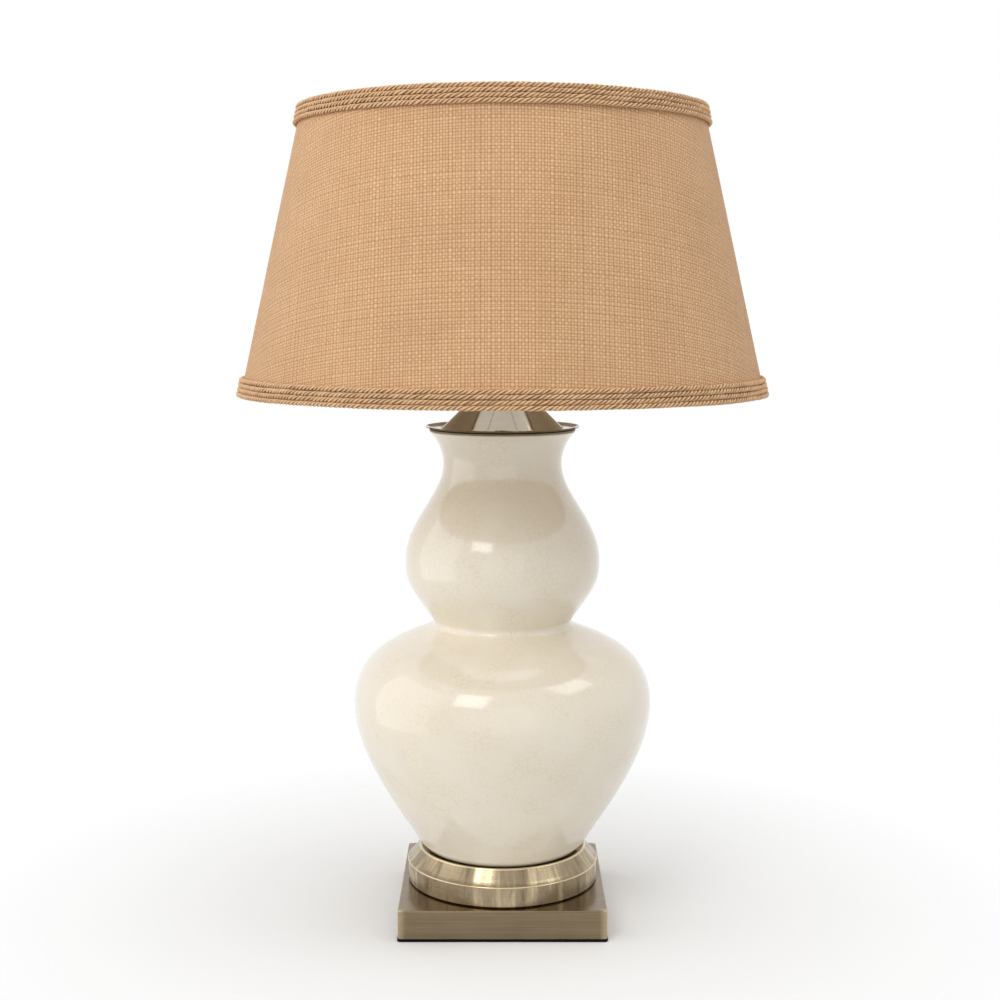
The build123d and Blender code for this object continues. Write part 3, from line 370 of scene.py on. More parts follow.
@dataclass(frozen=True)
class CrackleGlaze(Finish):
    """Cream glaze, glassy on top, with a fine net of craze lines under the gloss."""

    colour: Colour = rgb(242, 233, 215)
    warm: Colour = rgb(238, 226, 203)
    line: Colour = rgb(186, 164, 130)
    cell: float = 5.5 * MM
    craze: float = 0.24
    fine_craze: float = 0.1
    pinholes: float = 0.4

    def constants(self) -> Dict[str, Value]:
        """A clear coat over a slightly soft body."""
        return {"IOR": 1.5, "Coat Weight": 0.5, "Coat Roughness": 0.07, "Coat IOR": 1.5}

    def net(self, graph: Graph, cell: float, width: float, sway: float) -> Signal:
        """A net of craze lines.

        Args:
            graph: The material's graph.
            cell: Size of its cells, in metres.
            width: Width of a line, as a share of a cell.
            sway: How far the lines wander, in metres.

        Returns:
            1 on a line, 0 inside a cell.
        """
        place = graph.here()
        drift = graph.out("ShaderNodeTexNoise", "Color", None, Vector=place, Scale=0.45 / cell, Detail=3.0)
        swayed = graph.node("ShaderNodeVectorMath", {"operation": "MULTIPLY_ADD"}, {0: drift, 1: (sway,) * 3, 2: place})
        edge = graph.out(
            "ShaderNodeTexVoronoi", "Distance", {"feature": "DISTANCE_TO_EDGE"},
            Vector=Signal(graph, swayed.outputs[0]), Scale=1.0 / cell,
        )
        return 1.0 - edge.between(0.0, width)

    def varying(self, graph: Graph) -> Dict[str, Signal]:
        """Tone, craze lines, pinholes and the slight waviness of a fired glaze.

        Args:
            graph: The material's graph.

        Returns:
            Signals by socket name.
        """
        coarse = self.net(graph, self.cell, 0.05, 1.6 * MM)
        fine = self.net(graph, self.cell * 0.42, 0.07, 0.7 * MM)
        clouds = graph.noise(graph.here(), 9.0, 4.0, 0.55)
        patches = graph.noise(graph.here(), 36.0, 3.0, 0.5)
        pin = graph.out("ShaderNodeTexVoronoi", "Distance", None, Vector=graph.here(), Scale=55.0)
        pins = (1.0 - pin.between(0.0, 0.035)) * patches.between(0.6, 0.72) * self.pinholes
        warmth = clouds.between(0.35, 0.7) * 0.7 + patches.between(0.4, 0.8) * 0.3
        tone = graph.mix(self.colour, self.warm, warmth)
        crazed = coarse * patches.between(0.3, 0.65) * self.craze + fine * clouds.between(0.45, 0.7) * self.fine_craze
        crazed = crazed.clamped()
        lined = graph.mix(tone, self.line, crazed)
        spotted = graph.mix(lined, self.line, pins)
        skin = graph.noise(graph.here(), 60.0, 2.0, 0.4)
        wave = graph.bump(skin, 0.05 * MM, 0.35)
        return {
            "Base Color": spotted,
            "Roughness": (0.14 + crazed * 0.3 + patches * 0.05).clamped(),
            "Normal": graph.bump(1.0 - crazed, 0.03 * MM, 0.35, wave),
        }


@dataclass(frozen=True)
class Moulded(Finish):
    """Moulded, pressed or turned material that isn't metal."""

    colour: Colour = (0.1, 0.1, 0.1, 1.0)
    second: Colour = (0.12, 0.12, 0.12, 1.0)
    roughness: float = 0.5
    speckle: float = 700.0
    depth: float = 0.03 * MM
    coat: float = 0.0

    def constants(self) -> Dict[str, Value]:
        """A thin gloss where the material has one."""
        return {"Coat Weight": self.coat, "Coat Roughness": 0.15}

    def varying(self, graph: Graph) -> Dict[str, Signal]:
        """Speckle, faint clouds and a fine skin.

        Args:
            graph: The material's graph.

        Returns:
            Signals by socket name.
        """
        speckle = graph.noise(graph.here(), self.speckle, 3.0, 0.6)
        clouds = graph.noise(graph.here(), 45.0, 3.0, 0.55)
        return {
            "Base Color": graph.mix(self.colour, self.second, (speckle * 0.6 + clouds * 0.4).between(0.35, 0.65)),
            "Roughness": (self.roughness + (clouds - 0.5) * 0.12 + (speckle - 0.5) * 0.08).clamped(),
            "Normal": graph.bump(speckle, self.depth, 0.5),
        }


@dataclass(frozen=True)
class FrostedGlass(Finish):
    """Bulb glass with a soft white coating inside."""

    def constants(self) -> Dict[str, Value]:
        """Mostly the white coating, with the glass skin's gloss."""
        return {"Transmission Weight": 0.25, "IOR": 1.45, "Coat Weight": 0.5, "Coat Roughness": 0.06}

    def varying(self, graph: Graph) -> Dict[str, Signal]:
        """Slightly uneven coating.

        Args:
            graph: The material's graph.

        Returns:
            Signals by socket name.
        """
        powder = graph.noise(graph.here(), 160.0, 4.0, 0.6)
        return {
            "Base Color": graph.mix(rgb(246, 244, 238), rgb(232, 230, 224), powder.between(0.35, 0.7)),
            "Roughness": (0.42 + (powder - 0.5) * 0.12).clamped(),
            "Normal": graph.bump(powder, 0.01 * MM, 0.3),
        }


class DryFibre(Finish):
    """Common part of cloth and rope."""

    def constants(self) -> Dict[str, Value]:
        """Dry fibre with a little sheen."""
        return {"Sheen Weight": 0.12, "Sheen Roughness": 0.5, "Specular IOR Level": 0.2}


@dataclass(frozen=True)
class Weave(DryFibre):
    """Plain-woven jute cloth; its map counts the yarns, YARNS_A_UNIT of them to 1."""

    # The warp colour is lighter than the weft colour as a painted highlight on the upright warp floats.
    warp: Colour = rgb(247, 205, 160)
    weft: Colour = rgb(218, 170, 124)
    # The shadow colour is painted shade in the low points and gaps between the yarns.
    shadow: Colour = rgb(112, 76, 46)
    fleck: Colour = rgb(168, 120, 78)
    half_yarn: float = 0.47
    depth: float = 0.45 * MM
    painted_shade_lows: float = 0.62
    painted_shade_gaps: float = 0.4

    def yarn(self, graph: Graph, across: Signal, along: Signal, other: Signal, sign: float) -> Tuple[Signal, Signal]:
        """One set of yarns.

        Args:
            graph: The material's graph.
            across: Position across the yarns, in yarns.
            along: Position along them, in yarns of the other set.
            other: Whole number of the yarn, of this set.
            sign: 1 for the warp, -1 for the weft, which goes over where the warp goes under.

        Returns:
            The height of the yarn's surface, 0 to 1, and how round it is at that point.
        """
        from_middle = across - other
        slubs = graph.noise(graph.combine(along * 0.3, other * 13.7 + sign), 1.0, 3.0, 0.6)
        half = self.half_yarn * (0.84 + slubs * 0.34)
        round_top = (1.0 - (from_middle / half) ** 2.0).math("MAXIMUM", 0.0)
        wave = ((along + other) * math.pi).math("COSINE") * (0.5 * sign) + 0.5
        return round_top.math("SQRT") * wave, round_top

    def varying(self, graph: Graph) -> Dict[str, Signal]:
        """Over and under yarns, uneven spinning and flecks, with a painted highlight on the warp floats and painted
        shade in the low points and gaps.

        Args:
            graph: The material's graph.

        Returns:
            Signals by socket name.
        """
        map_place = graph.out("ShaderNodeUVMap", 0, {"uv_map": "yarns"})
        u, v, _ = graph.split(graph.scaled(map_place, (YARNS_A_UNIT, YARNS_A_UNIT, 0.0)))
        warp_number = u.math("ROUND")
        weft_number = v.math("ROUND")
        warp_height, warp_round = self.yarn(graph, u, v, warp_number, 1.0)
        weft_height, weft_round = self.yarn(graph, v, u, weft_number, -1.0)
        on_top = (warp_height - weft_height).between(-0.06, 0.06)
        height = warp_height.math("MAXIMUM", weft_height)
        gap = 1.0 - warp_round.math("MAXIMUM", weft_round).between(0.0, 0.35)
        warp_tone = graph.noise(graph.combine(warp_number * 7.31, v * 0.09), 1.0, 3.0, 0.6)
        weft_tone = graph.noise(graph.combine(u * 0.09, weft_number * 5.77), 1.0, 3.0, 0.6)
        fibre_warp = graph.noise(graph.combine(u * 9.0, v * 1.4), 1.0, 3.0, 0.65)
        fibre_weft = graph.noise(graph.combine(u * 1.4, v * 9.0), 1.0, 3.0, 0.65)
        flecks = graph.noise(graph.combine(u * 0.55, v * 0.9), 1.0, 4.0, 0.7).between(0.62, 0.78)
        clouds = graph.noise(graph.combine(u, v), 0.035, 3.0, 0.5)
        warp_share = warp_tone.between(0.3, 0.7) * 0.6 + fibre_warp.between(0.3, 0.7) * 0.3
        weft_share = weft_tone.between(0.35, 0.7) * 0.45 + fibre_weft.between(0.4, 0.8) * 0.2
        warp_colour = graph.mix(self.warp, self.weft, warp_share)
        weft_colour = graph.mix(self.weft, self.warp, weft_share)
        # Painted highlight: where the warp lies on top, the lighter warp colour shows.
        cloth = graph.mix(weft_colour, warp_colour, on_top)
        flecked = graph.mix(cloth, self.fleck, flecks * 0.6 + clouds.between(0.4, 0.75) * 0.12)
        # Painted shade: low points and gaps between the yarns are darkened towards the shadow colour.
        low = (1.0 - height.between(0.1, 0.9)) * self.painted_shade_lows + gap * self.painted_shade_gaps
        fibre = fibre_warp * on_top + fibre_weft * (1.0 - on_top)
        return {
            "Base Color": graph.mix(flecked, self.shadow, low),
            "Roughness": (0.86 + (fibre - 0.5) * 0.12).clamped(),
            "Normal": graph.bump(fibre, 0.08 * MM, 0.6, graph.bump(height, self.depth, 0.85)),
        }


@dataclass(frozen=True)
class Jute(DryFibre):
    """Spun jute strand; its attributes run along and round each strand."""

    light: Colour = rgb(253, 214, 168)
    dark: Colour = rgb(208, 160, 114)
    # The last colour is painted shade for the creases between the strands.
    painted_crevice_shade: Colour = rgb(112, 74, 42)

    def varying(self, graph: Graph) -> Dict[str, Signal]:
        """Fibres that turn round the strand, a tone for each strand, and painted shade where the strands meet.

        Args:
            graph: The material's graph.

        Returns:
            Signals by socket name.
        """
        along = graph.out("ShaderNodeAttribute", "Fac", {"attribute_name": "strand_along"})
        around = graph.out("ShaderNodeAttribute", "Fac", {"attribute_name": "strand_around"})
        tone = graph.out("ShaderNodeAttribute", "Fac", {"attribute_name": "strand_tone"})
        turn = around * TURN
        spun = graph.combine(turn.math("COSINE") * 2.6, turn.math("SINE") * 2.6, along * 2.2)
        fibres = graph.noise(spun, 2.2, 4.0, 0.7)
        lengths = graph.noise(graph.combine(along * 0.55, tone * 9.0), 1.0, 3.0, 0.6)
        shade = fibres.between(0.3, 0.7) * 0.55 + lengths.between(0.35, 0.7) * 0.35 + tone * 0.1
        # Painted shade on each strand's side that faces the rope's core, with some darker fibres mixed in.
        inward = 1.0 - graph.out("ShaderNodeAttribute", "Fac", {"attribute_name": "strand_out"}).between(0.62, 0.93)
        depth = inward * 0.8 + fibres.between(0.6, 0.8) * 0.4
        flecked = graph.mix(graph.mix(self.light, self.dark, shade), self.painted_crevice_shade, depth)
        return {
            "Base Color": flecked,
            "Roughness": (0.84 + (fibres - 0.5) * 0.15).clamped(),
            "Normal": graph.bump(fibres, 0.22 * MM, 0.8),
        }


@dataclass(frozen=True)
class Felt(Finish):
    """Pressed black felt."""

    def constants(self) -> Dict[str, Value]:
        """Soft sheen and no gloss."""
        return {"Sheen Weight": 0.05, "Sheen Roughness": 0.6, "Specular IOR Level": 0.1}

    def varying(self, graph: Graph) -> Dict[str, Signal]:
        """Matted fibres.

        Args:
            graph: The material's graph.

        Returns:
            Signals by socket name.
        """
        fluff = graph.noise(graph.here(), 900.0, 4.0, 0.75)
        clouds = graph.noise(graph.here(), 60.0, 3.0, 0.6)
        return {
            "Base Color": graph.mix(rgb(5, 4, 4), rgb(15, 13, 12), (fluff * 0.7 + clouds * 0.3).between(0.35, 0.7)),
            "Roughness": (0.93 + (fluff - 0.5) * 0.1).clamped(),
            "Normal": graph.bump(fluff, 0.25 * MM, 0.8),
        }


FINISH_OF_SLOT: Dict[str, Finish] = {
    "fibreboard": Moulded("fibreboard", rgb(150, 118, 82), rgb(124, 96, 64), 0.8, 500.0, 0.1 * MM),
    "antique_brass": Metal(
        "antique_brass_turned", rgb(158, 140, 112), rgb(112, 95, 70), Grain.TURNED,
        0.24, 0.012 * MM, 1500.0, 0.88, 0.3, 0.4,
    ),
    "black_rubber": Moulded("black_rubber", rgb(22, 21, 20), rgb(34, 33, 31), 0.62, 900.0, 0.03 * MM),
    "zinc_steel": Metal("zinc_steel", rgb(190, 194, 196), rgb(150, 152, 150), Grain.DRAWN, 0.32, 0.02 * MM, 900.0),
    "crackle_glaze": CrackleGlaze("crackle_glaze"),
    "polished_brass": Metal(
        "polished_brass", rgb(214, 178, 104), rgb(170, 132, 70), Grain.DRAWN, 0.16, 0.006 * MM, 700.0
    ),
    "socket_brass": Metal(
        "socket_brass", rgb(206, 166, 92), rgb(160, 120, 62), Grain.TURNED, 0.22, 0.01 * MM, 1800.0, 0.3
    ),
    "fibre_paper": Moulded("fibre_paper", rgb(120, 92, 66), rgb(98, 74, 52), 0.8, 800.0, 0.06 * MM),
    "black_phenolic": Moulded("black_phenolic", rgb(20, 18, 17), rgb(30, 27, 25), 0.28, 400.0, 0.01 * MM, 0.3),
    "aluminium": Metal("aluminium", rgb(214, 215, 214), rgb(180, 180, 178), Grain.TURNED, 0.3, 0.012 * MM, 1400.0, 0.2),
    "frosted_glass": FrostedGlass("frosted_glass"),
    # The liner is tinted tan as painted light, for the warm light that comes through the burlap.
    "styrene": Moulded("styrene", rgb(226, 210, 184), rgb(216, 199, 171), 0.42, 260.0, 0.01 * MM),
    "shade_wire": Moulded("shade_wire", rgb(224, 220, 210), rgb(206, 201, 190), 0.36, 500.0, 0.02 * MM, 0.2),
    "burlap": Weave("burlap"),
    "jute": Jute("jute"),
    "felt": Felt("felt"),
}
FINISH_OF_NODE: Dict[str, Finish] = {
    "pedestal_ring": Metal(
        "antique_brass_spun", rgb(160, 145, 119), rgb(92, 78, 57), Grain.TURNED,
        0.24, 0.01 * MM, 1500.0, 0.88, 0.2, 0.25,
        # Painted highlights on the bead and rim, and painted light and dark reflection streaks, in the light edge
        # colour and the dark tarnished colour.
        edge=rgb(222, 204, 168), painted_highlight_rings=((46.4 * MM, 1.0 * MM), (60.0 * MM, 1.1 * MM)), painted_reflection_streaks=0.7,
    ),
    # The plinth's corners take the default light edge colour as a painted highlight.
    "plinth": Metal(
        "antique_brass_brushed", rgb(144, 128, 105), rgb(102, 88, 68), Grain.BRUSHED,
        0.18, 0.03 * MM, 950.0, 0.0, 0.25, 0.6,
    ),
    "vase_cap": Metal(
        "antique_brass_polished", rgb(160, 150, 134), rgb(116, 106, 90), Grain.TURNED,
        0.07, 0.004 * MM, 1500.0, 0.0, 0.3,
    ),
    # The cap gasket is coloured light brown as a painted highlight, for the lit line under the cap's lip.
    "cap_gasket": Moulded("rubber_painted_light", rgb(142, 124, 98), rgb(118, 102, 78), 0.45, 900.0, 0.03 * MM),
    "foot_gasket": Moulded("dark_rubber", rgb(66, 54, 40), rgb(48, 39, 28), 0.5, 900.0, 0.03 * MM),
}


# ---------------------------------------------------------------- helpers for pieces


def add_piece(name: str, mesh: bpy.types.Mesh, body: str, slot: str) -> bpy.types.Object:
    """Puts a mesh in the scene as a piece of the lamp.

    Args:
        name: The piece's name.
        mesh: Its mesh, in place.
        body: The body that it rides on.
        slot: The record's material slot, whose finish it gets.

    Returns:
        The piece.
    """
    piece = bpy.data.objects.new(name, mesh)
    bpy.context.scene.collection.objects.link(piece)
    mesh.materials.clear()
    mesh.materials.append(FINISH_OF_SLOT[slot].material())
    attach(piece, body)
    log.info("%s: %d faces on %s", name, len(mesh.polygons), body)
    return piece


class GeometryRecipe:
    """A geometry node tree with named inputs, run once to give a plain mesh."""

    def __init__(self, name: str, inputs: Dict[str, str]) -> None:
        """Makes the tree and its sockets.

        Args:
            name: The tree's name.
            inputs: Socket types by input name.
        """
        self.tree = bpy.data.node_groups.new(name, "GeometryNodeTree")
        self.tree.is_modifier = True
        self.tree.interface.new_socket("Geometry", in_out="INPUT", socket_type="NodeSocketGeometry")
        for label, kind in inputs.items():
            self.tree.interface.new_socket(label, in_out="INPUT", socket_type=kind)
        self.tree.interface.new_socket("Geometry", in_out="OUTPUT", socket_type="NodeSocketGeometry")
        self.graph = Graph(self.tree)
        self.start = self.graph.node("NodeGroupInput")

    def given(self, label: str) -> Signal:
        """One of the tree's inputs."""
        return Signal(self.graph, self.start.outputs[label])

    def store(self, geometry: Signal, label: str, kind: str, value: Signal) -> Signal:
        """Keeps a value on the points under a name."""
        how = {"data_type": kind, "domain": "POINT"}
        return self.graph.out("GeometryNodeStoreNamedAttribute", 0, how, Geometry=geometry, Name=label, Value=value)

    def end(self, geometry: Signal) -> None:
        """Ends the tree: everything real, with its material.

        Args:
            geometry: What the tree has made.
        """
        real = self.graph.out("GeometryNodeRealizeInstances", 0, None, Geometry=geometry)
        done = self.graph.out("GeometryNodeSetMaterial", 0, None, Geometry=real, Material=self.given("Material"))
        self.graph.node("NodeGroupOutput", None, {0: done})

    def run(self, values: Dict[str, Any], on: Optional[bpy.types.Mesh] = None) -> bpy.types.Mesh:
        """Evaluates the tree.

        Args:
            values: The inputs by name.
            on: The mesh that it starts from, if it needs one.

        Returns:
            The result as a plain mesh.
        """
        seed = on if on is not None else bpy.data.meshes.new(self.tree.name + "_seed")
        maker = bpy.data.objects.new(self.tree.name + "_maker", seed)
        bpy.context.scene.collection.objects.link(maker)
        modifier = maker.modifiers.new(self.tree.name, "NODES")
        modifier.node_group = self.tree
        items = self.tree.interface.items_tree
        identifiers = {item.name: item.identifier for item in items if item.in_out == "INPUT"}
        for label, value in values.items():
            modifier[identifiers[label]] = value
        bpy.context.view_layer.update()
        depsgraph = bpy.context.evaluated_depsgraph_get()
        done = maker.evaluated_get(depsgraph)
        mesh = bpy.data.meshes.new_from_object(done, preserve_all_data_layers=True, depsgraph=depsgraph)
        maker.modifiers.clear()
        bpy.data.objects.remove(maker)
        return mesh


# ---------------------------------------------------------------- shade


@dataclass
class ShadeShape:
    """The shade's cone, as the frame has it."""

    top_z: float = 721.6 * MM
    bottom_z: float = 471.8 * MM
    top_radius: float = 174.8 * MM
    bottom_radius: float = 230.9 * MM
    ring_top_z: float = 717.2 * MM
    ring_bottom_z: float = 476.4 * MM
    fold_radius: float = 2.7 * MM
    hem: float = 11.0 * MM

    @property
    def slope(self) -> float:
        """Growth of the radius for each metre down."""
        return (self.bottom_radius - self.top_radius) / (self.top_z - self.bottom_z)

    @property
    def lean(self) -> float:
        """The side's angle from the vertical."""
        return math.atan(self.slope)

    def on_face(self, height: float, out: float) -> Tuple[float, float]:
        """Radius and height of a point beside the outer face.

        Args:
            height: Height of the face's point.
            out: Distance off the face there.

        Returns:
            The radius and the height.
        """
        radius = self.top_radius + (self.top_z - height) * self.slope
        return (radius + out * math.cos(self.lean), height + out * math.sin(self.lean))


@dataclass
class BurlapCover:
    """The cloth: cut flat as part of a ring, rolled into the cone and folded round both wires."""

    shape: ShadeShape
    warp_pitch: float = 2.56 * MM
    weft_pitch: float = 2.42 * MM
    overlap: float = 9.0 * MM
    lap_lift: float = 0.8 * MM
    warp_rise: float = 0.2 * MM
    weft_drop: float = 0.12 * MM
    wander: float = 0.24
    most_wander: float = 0.38
    warp_spread: float = 0.25
    weft_spread: float = 0.3
    lap_slope: float = 2.2
    seed: int = 11

    def side_length(self) -> float:
        """Length of the side between the middles of the two wires."""
        return (self.shape.ring_top_z - self.shape.ring_bottom_z) / math.cos(self.shape.lean)

    def cut(self) -> Tuple[float, float, float]:
        """The flat cut, measured from the cone's point.

        Returns:
            Distances to the middle of the lower wire and to the cloth's far and near edges.
        """
        shape = self.shape
        to_wire = shape.on_face(shape.ring_bottom_z, 0.0)[0] / math.sin(shape.lean)
        fold = math.pi * shape.fold_radius + shape.hem
        return to_wire, to_wire + fold, to_wire - self.side_length() - fold

    def along_profile(self, run: np.ndarray, out: np.ndarray) -> Tuple[np.ndarray, np.ndarray]:
        """Place on the folded section.

        Args:
            run: Distance up the cloth from the middle of the lower wire.
            out: Distance off the cloth's outer face.

        Returns:
            Radius and height of each point.
        """
        shape, side, bend = self.shape, self.side_length(), self.shape.fold_radius
        sine, cosine = math.sin(shape.lean), math.cos(shape.lean)
        low = shape.on_face(shape.ring_bottom_z, -bend)
        high = shape.on_face(shape.ring_top_z, -bend)
        turn_low = np.clip(-run / bend, 0.0, math.pi)
        turn_high = np.clip((run - side) / bend, 0.0, math.pi)
        hem_low = np.clip(-run - math.pi * bend, 0.0, None)
        hem_high = np.clip(run - side - math.pi * bend, 0.0, None)
        above = run > side
        # In the side's own axes: n is square to the face, t runs up it.
        n = (bend + out) * np.cos(turn_low + turn_high)
        t = (bend + out) * (np.sin(turn_high) - np.sin(turn_low)) + hem_low - hem_high
        t = t + np.where(above, 0.0, np.clip(run, 0.0, side))
        base_r = np.where(above, high[0], low[0])
        base_z = np.where(above, high[1], low[1])
        return base_r + n * cosine - t * sine, base_z + n * sine + t * cosine

    def build(self) -> bpy.types.Object:
        """Weaves, cuts, rolls and folds the cloth.

        Returns:
            The cloth.
        """
        rng = np.random.default_rng(self.seed)
        sine = math.sin(self.shape.lean)
        to_wire, far, near = self.cut()
        half = math.pi * sine
        lap = self.overlap / (0.5 * (far + near))
        columns = int(far * math.sin(half + lap) / self.warp_pitch) + 2
        first_row = int(-far / self.weft_pitch) - 1
        last_row = int(-near * math.cos(half + lap) / self.weft_pitch) + 1
        i, j = np.meshgrid(np.arange(-columns, columns + 1), np.arange(first_row, last_row + 1), indexing="ij")
        most = self.most_wander
        warp_sway = np.clip(rng.normal(0, self.wander, i.shape[0]), -most, most)[:, None]
        weft_sway = np.clip(rng.normal(0, self.wander, j.shape[1]), -most, most)[None, :]
        x = (i + warp_sway) * self.warp_pitch
        y = (j + weft_sway) * self.weft_pitch
        reach = np.hypot(x, y)
        angle = np.arctan2(x, -y)
        inside = (reach >= near) & (reach <= far) & (angle >= -half) & (angle <= half + lap)
        reach = np.clip(reach, near, far)
        angle = np.clip(angle, -half, half + lap)
        warp_thick = 1 + rng.normal(0, self.warp_spread, i.shape[0])[:, None]
        weft_thick = 1 + rng.normal(0, self.weft_spread, j.shape[1])[None, :]
        over = (i + j) % 2 == 0
        height = np.where(over, self.warp_rise * warp_thick, -self.weft_drop * weft_thick)
        lift = self.lap_lift * np.clip((angle - half + self.lap_slope * lap) / lap, 0.0, 1.0)
        radius, z = self.along_profile(to_wire - reach, height + lift - self.warp_rise)
        heading = angle / sine
        places = np.stack([radius * np.sin(heading), -radius * np.cos(heading), z], -1)
        yarns = np.stack([reach * np.sin(angle) / self.warp_pitch, -reach * np.cos(angle) / self.weft_pitch], -1)
        yarns = np.where(inside[..., None], np.stack([i, j], -1), yarns) / YARNS_A_UNIT
        return self.as_piece(places, yarns, inside)

    def as_piece(self, places: np.ndarray, yarns: np.ndarray, inside: np.ndarray) -> bpy.types.Object:
        """Makes the piece from the grid of crossings.

        Args:
            places: A point for each crossing.
            yarns: The yarn counts there, for the map.
            inside: True where the crossing lies inside the cut.

        Returns:
            The cloth.
        """
        rows = places.shape[1]
        number = np.arange(places.shape[0] * rows).reshape(places.shape[:2])
        kept = inside[:-1, :-1] | inside[1:, :-1] | inside[:-1, 1:] | inside[1:, 1:]
        quads = np.stack([number[:-1, :-1], number[1:, :-1], number[1:, 1:], number[:-1, 1:]], -1)[kept]
        used, faces = np.unique(quads, return_inverse=True)
        faces = faces.reshape(-1, 4)
        points = places.reshape(-1, 3)[used]
        counts = yarns.reshape(-1, 2)[used]
        mesh = bpy.data.meshes.new("burlap_cover")
        mesh.from_pydata(points.tolist(), [], faces.tolist())
        layer = mesh.uv_layers.new(name="yarns")
        layer.data.foreach_set("uv", counts[faces.ravel()].astype(np.float32).ravel())
        mesh.shade_smooth()
        mesh.update()
        piece = add_piece("burlap_cover", mesh, "shade", "burlap")
        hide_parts("shade_cover")
        return piece

    def declare(self) -> None:
        """Works out the flat cut, a ring sector cut from a rectangle, and does nothing more with it.
        """
        _, far, near = self.cut()


@dataclass
class RopeTrim:
    """Four rows of three-strand jute rope round a rim."""

    name: str
    replaced: str
    lowest_z: float
    shape: ShadeShape
    seed: int
    rows: int = 4
    rope: float = 4.3 * MM
    row_pitch: float = 4.2 * MM
    lay: float = 13.2 * MM
    strands: int = 3
    seam_gap: float = 1.0 * MM
    slack: float = 6.5
    drift_in: float = 0.9 * MM
    drift_up: float = 1.6 * MM
    uneven: float = 0.9
    row_turn: float = 2.1
    points_per_lay: int = 9
    sides: int = 6

    @classmethod
    def recipe(cls) -> GeometryRecipe:
        """The tree that lays strands round a row's circle, for every row.

        Returns:
            The recipe.
        """
        sizes = (
            "Radius", "Height", "Row in", "Row up", "Gap", "Lays", "Lay radius", "Slack",
            "Drift in", "Drift up", "Uneven", "Strand radius", "Seed",
        )
        others = {"Points": "NodeSocketInt", "Material": "NodeSocketMaterial"}
        recipe = GeometryRecipe("rope_rows", {**dict.fromkeys(sizes, "NodeSocketFloat"), **others})
        graph, given = recipe.graph, recipe.given
        index = graph.out("GeometryNodeInputIndex")
        share = index / (given("Points") - 1.0)
        run = share * given("Lays")
        heading = share * (TURN - given("Gap")) - math.pi
        across, ahead = heading.math("SINE"), heading.math("COSINE") * -1.0
        section = graph.out("GeometryNodeCurvePrimitiveCircle", 0, {"mode": "RADIUS"}, Resolution=cls.sides, Radius=1.0)
        section = recipe.store(section, "strand_around", "FLOAT", index / float(cls.sides))
        line = graph.out("GeometryNodeMeshLine", 0, {"mode": "OFFSET"}, Count=given("Points"))
        curve = graph.out("GeometryNodeMeshToCurve", 0, None, Mesh=line)
        joined = graph.node("GeometryNodeJoinGeometry")
        for row in range(cls.rows):
            shift = given("Seed") + row * 3.7
            drift_in = graph.noise(graph.combine(run * 0.22, shift), 1.0, 2.0) - 0.5
            drift_up = graph.noise(graph.combine(run * 0.22, shift + 50.0), 1.0, 2.0) - 0.5
            slack = graph.noise(graph.combine(run * 0.35, shift + 90.0), 1.0, 3.0) - 0.5
            radius = given("Radius") - given("Row in") * float(row) + drift_in * given("Drift in")
            height = given("Height") + given("Row up") * float(row) + drift_up * given("Drift up")
            for strand in range(cls.strands):
                start = TURN * strand / cls.strands + row * cls.row_turn
                turn = run * TURN + slack * given("Slack") + start
                tone = (row * 0.37 + strand * 0.29) % 1.0
                reach = radius + turn.math("COSINE") * given("Lay radius")
                place = graph.combine(reach * across, reach * ahead, height + turn.math("SINE") * given("Lay radius"))
                laid = graph.out("GeometryNodeSetPosition", 0, None, Geometry=curve, Position=place)
                uneven = graph.noise(graph.combine(run * 1.3, shift + strand * 11.0), 1.0, 3.0) - 0.5
                axis = graph.combine(radius * across, radius * ahead, height)
                laid = recipe.store(laid, "strand_along", "FLOAT", run)
                laid = recipe.store(laid, "strand_tone", "FLOAT", share * 0.0 + tone)
                laid = recipe.store(laid, "row_axis", "FLOAT_VECTOR", axis)
                tube = graph.out(
                    "GeometryNodeCurveToMesh", 0, None, Curve=laid, Profile_Curve=section,
                    Scale=given("Strand radius") * (uneven * given("Uneven") + 1.0), Fill_Caps=True,
                )
                recipe.tree.links.new(tube.socket, joined.inputs[0])
        axis = graph.out("GeometryNodeInputNamedAttribute", 0, {"data_type": "FLOAT_VECTOR"}, Name="row_axis")
        ends = {0: graph.out("GeometryNodeInputPosition"), 1: axis}
        off_axis = graph.node("ShaderNodeVectorMath", {"operation": "DISTANCE"}, ends)
        out = Signal(graph, off_axis.outputs["Value"]) / (given("Lay radius") + given("Strand radius"))
        ropes = recipe.store(Signal(graph, joined.outputs[0]), "strand_out", "FLOAT", out)
        plain = graph.out("GeometryNodeRemoveAttribute", 0, None, Geometry=ropes, Name="row_axis")
        recipe.end(graph.out("GeometryNodeSetShadeSmooth", 0, None, Geometry=plain))
        return recipe

    def build(self, recipe: GeometryRecipe) -> bpy.types.Object:
        """Lays the rope.

        Args:
            recipe: The rope tree.

        Returns:
            The trim.
        """
        lean = self.shape.lean
        radius, height = self.shape.on_face(self.lowest_z, self.rope / 2)
        lays = round(TURN * radius / self.lay)
        strand_radius = self.rope / 2 / (1 + 2 / math.sqrt(3))
        mesh = recipe.run({
            "Radius": radius, "Height": height, "Row in": self.row_pitch * math.sin(lean),
            "Row up": self.row_pitch * math.cos(lean), "Gap": self.seam_gap / radius, "Lays": float(lays),
            "Lay radius": self.rope / 2 - strand_radius, "Slack": self.slack, "Drift in": self.drift_in,
            "Drift up": self.drift_up, "Uneven": self.uneven, "Strand radius": strand_radius,
            "Points": lays * self.points_per_lay, "Seed": float(self.seed),
            "Material": FINISH_OF_SLOT["jute"].material(),
        })
        piece = add_piece(self.name, mesh, "shade", "jute")
        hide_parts(self.replaced)
        return piece


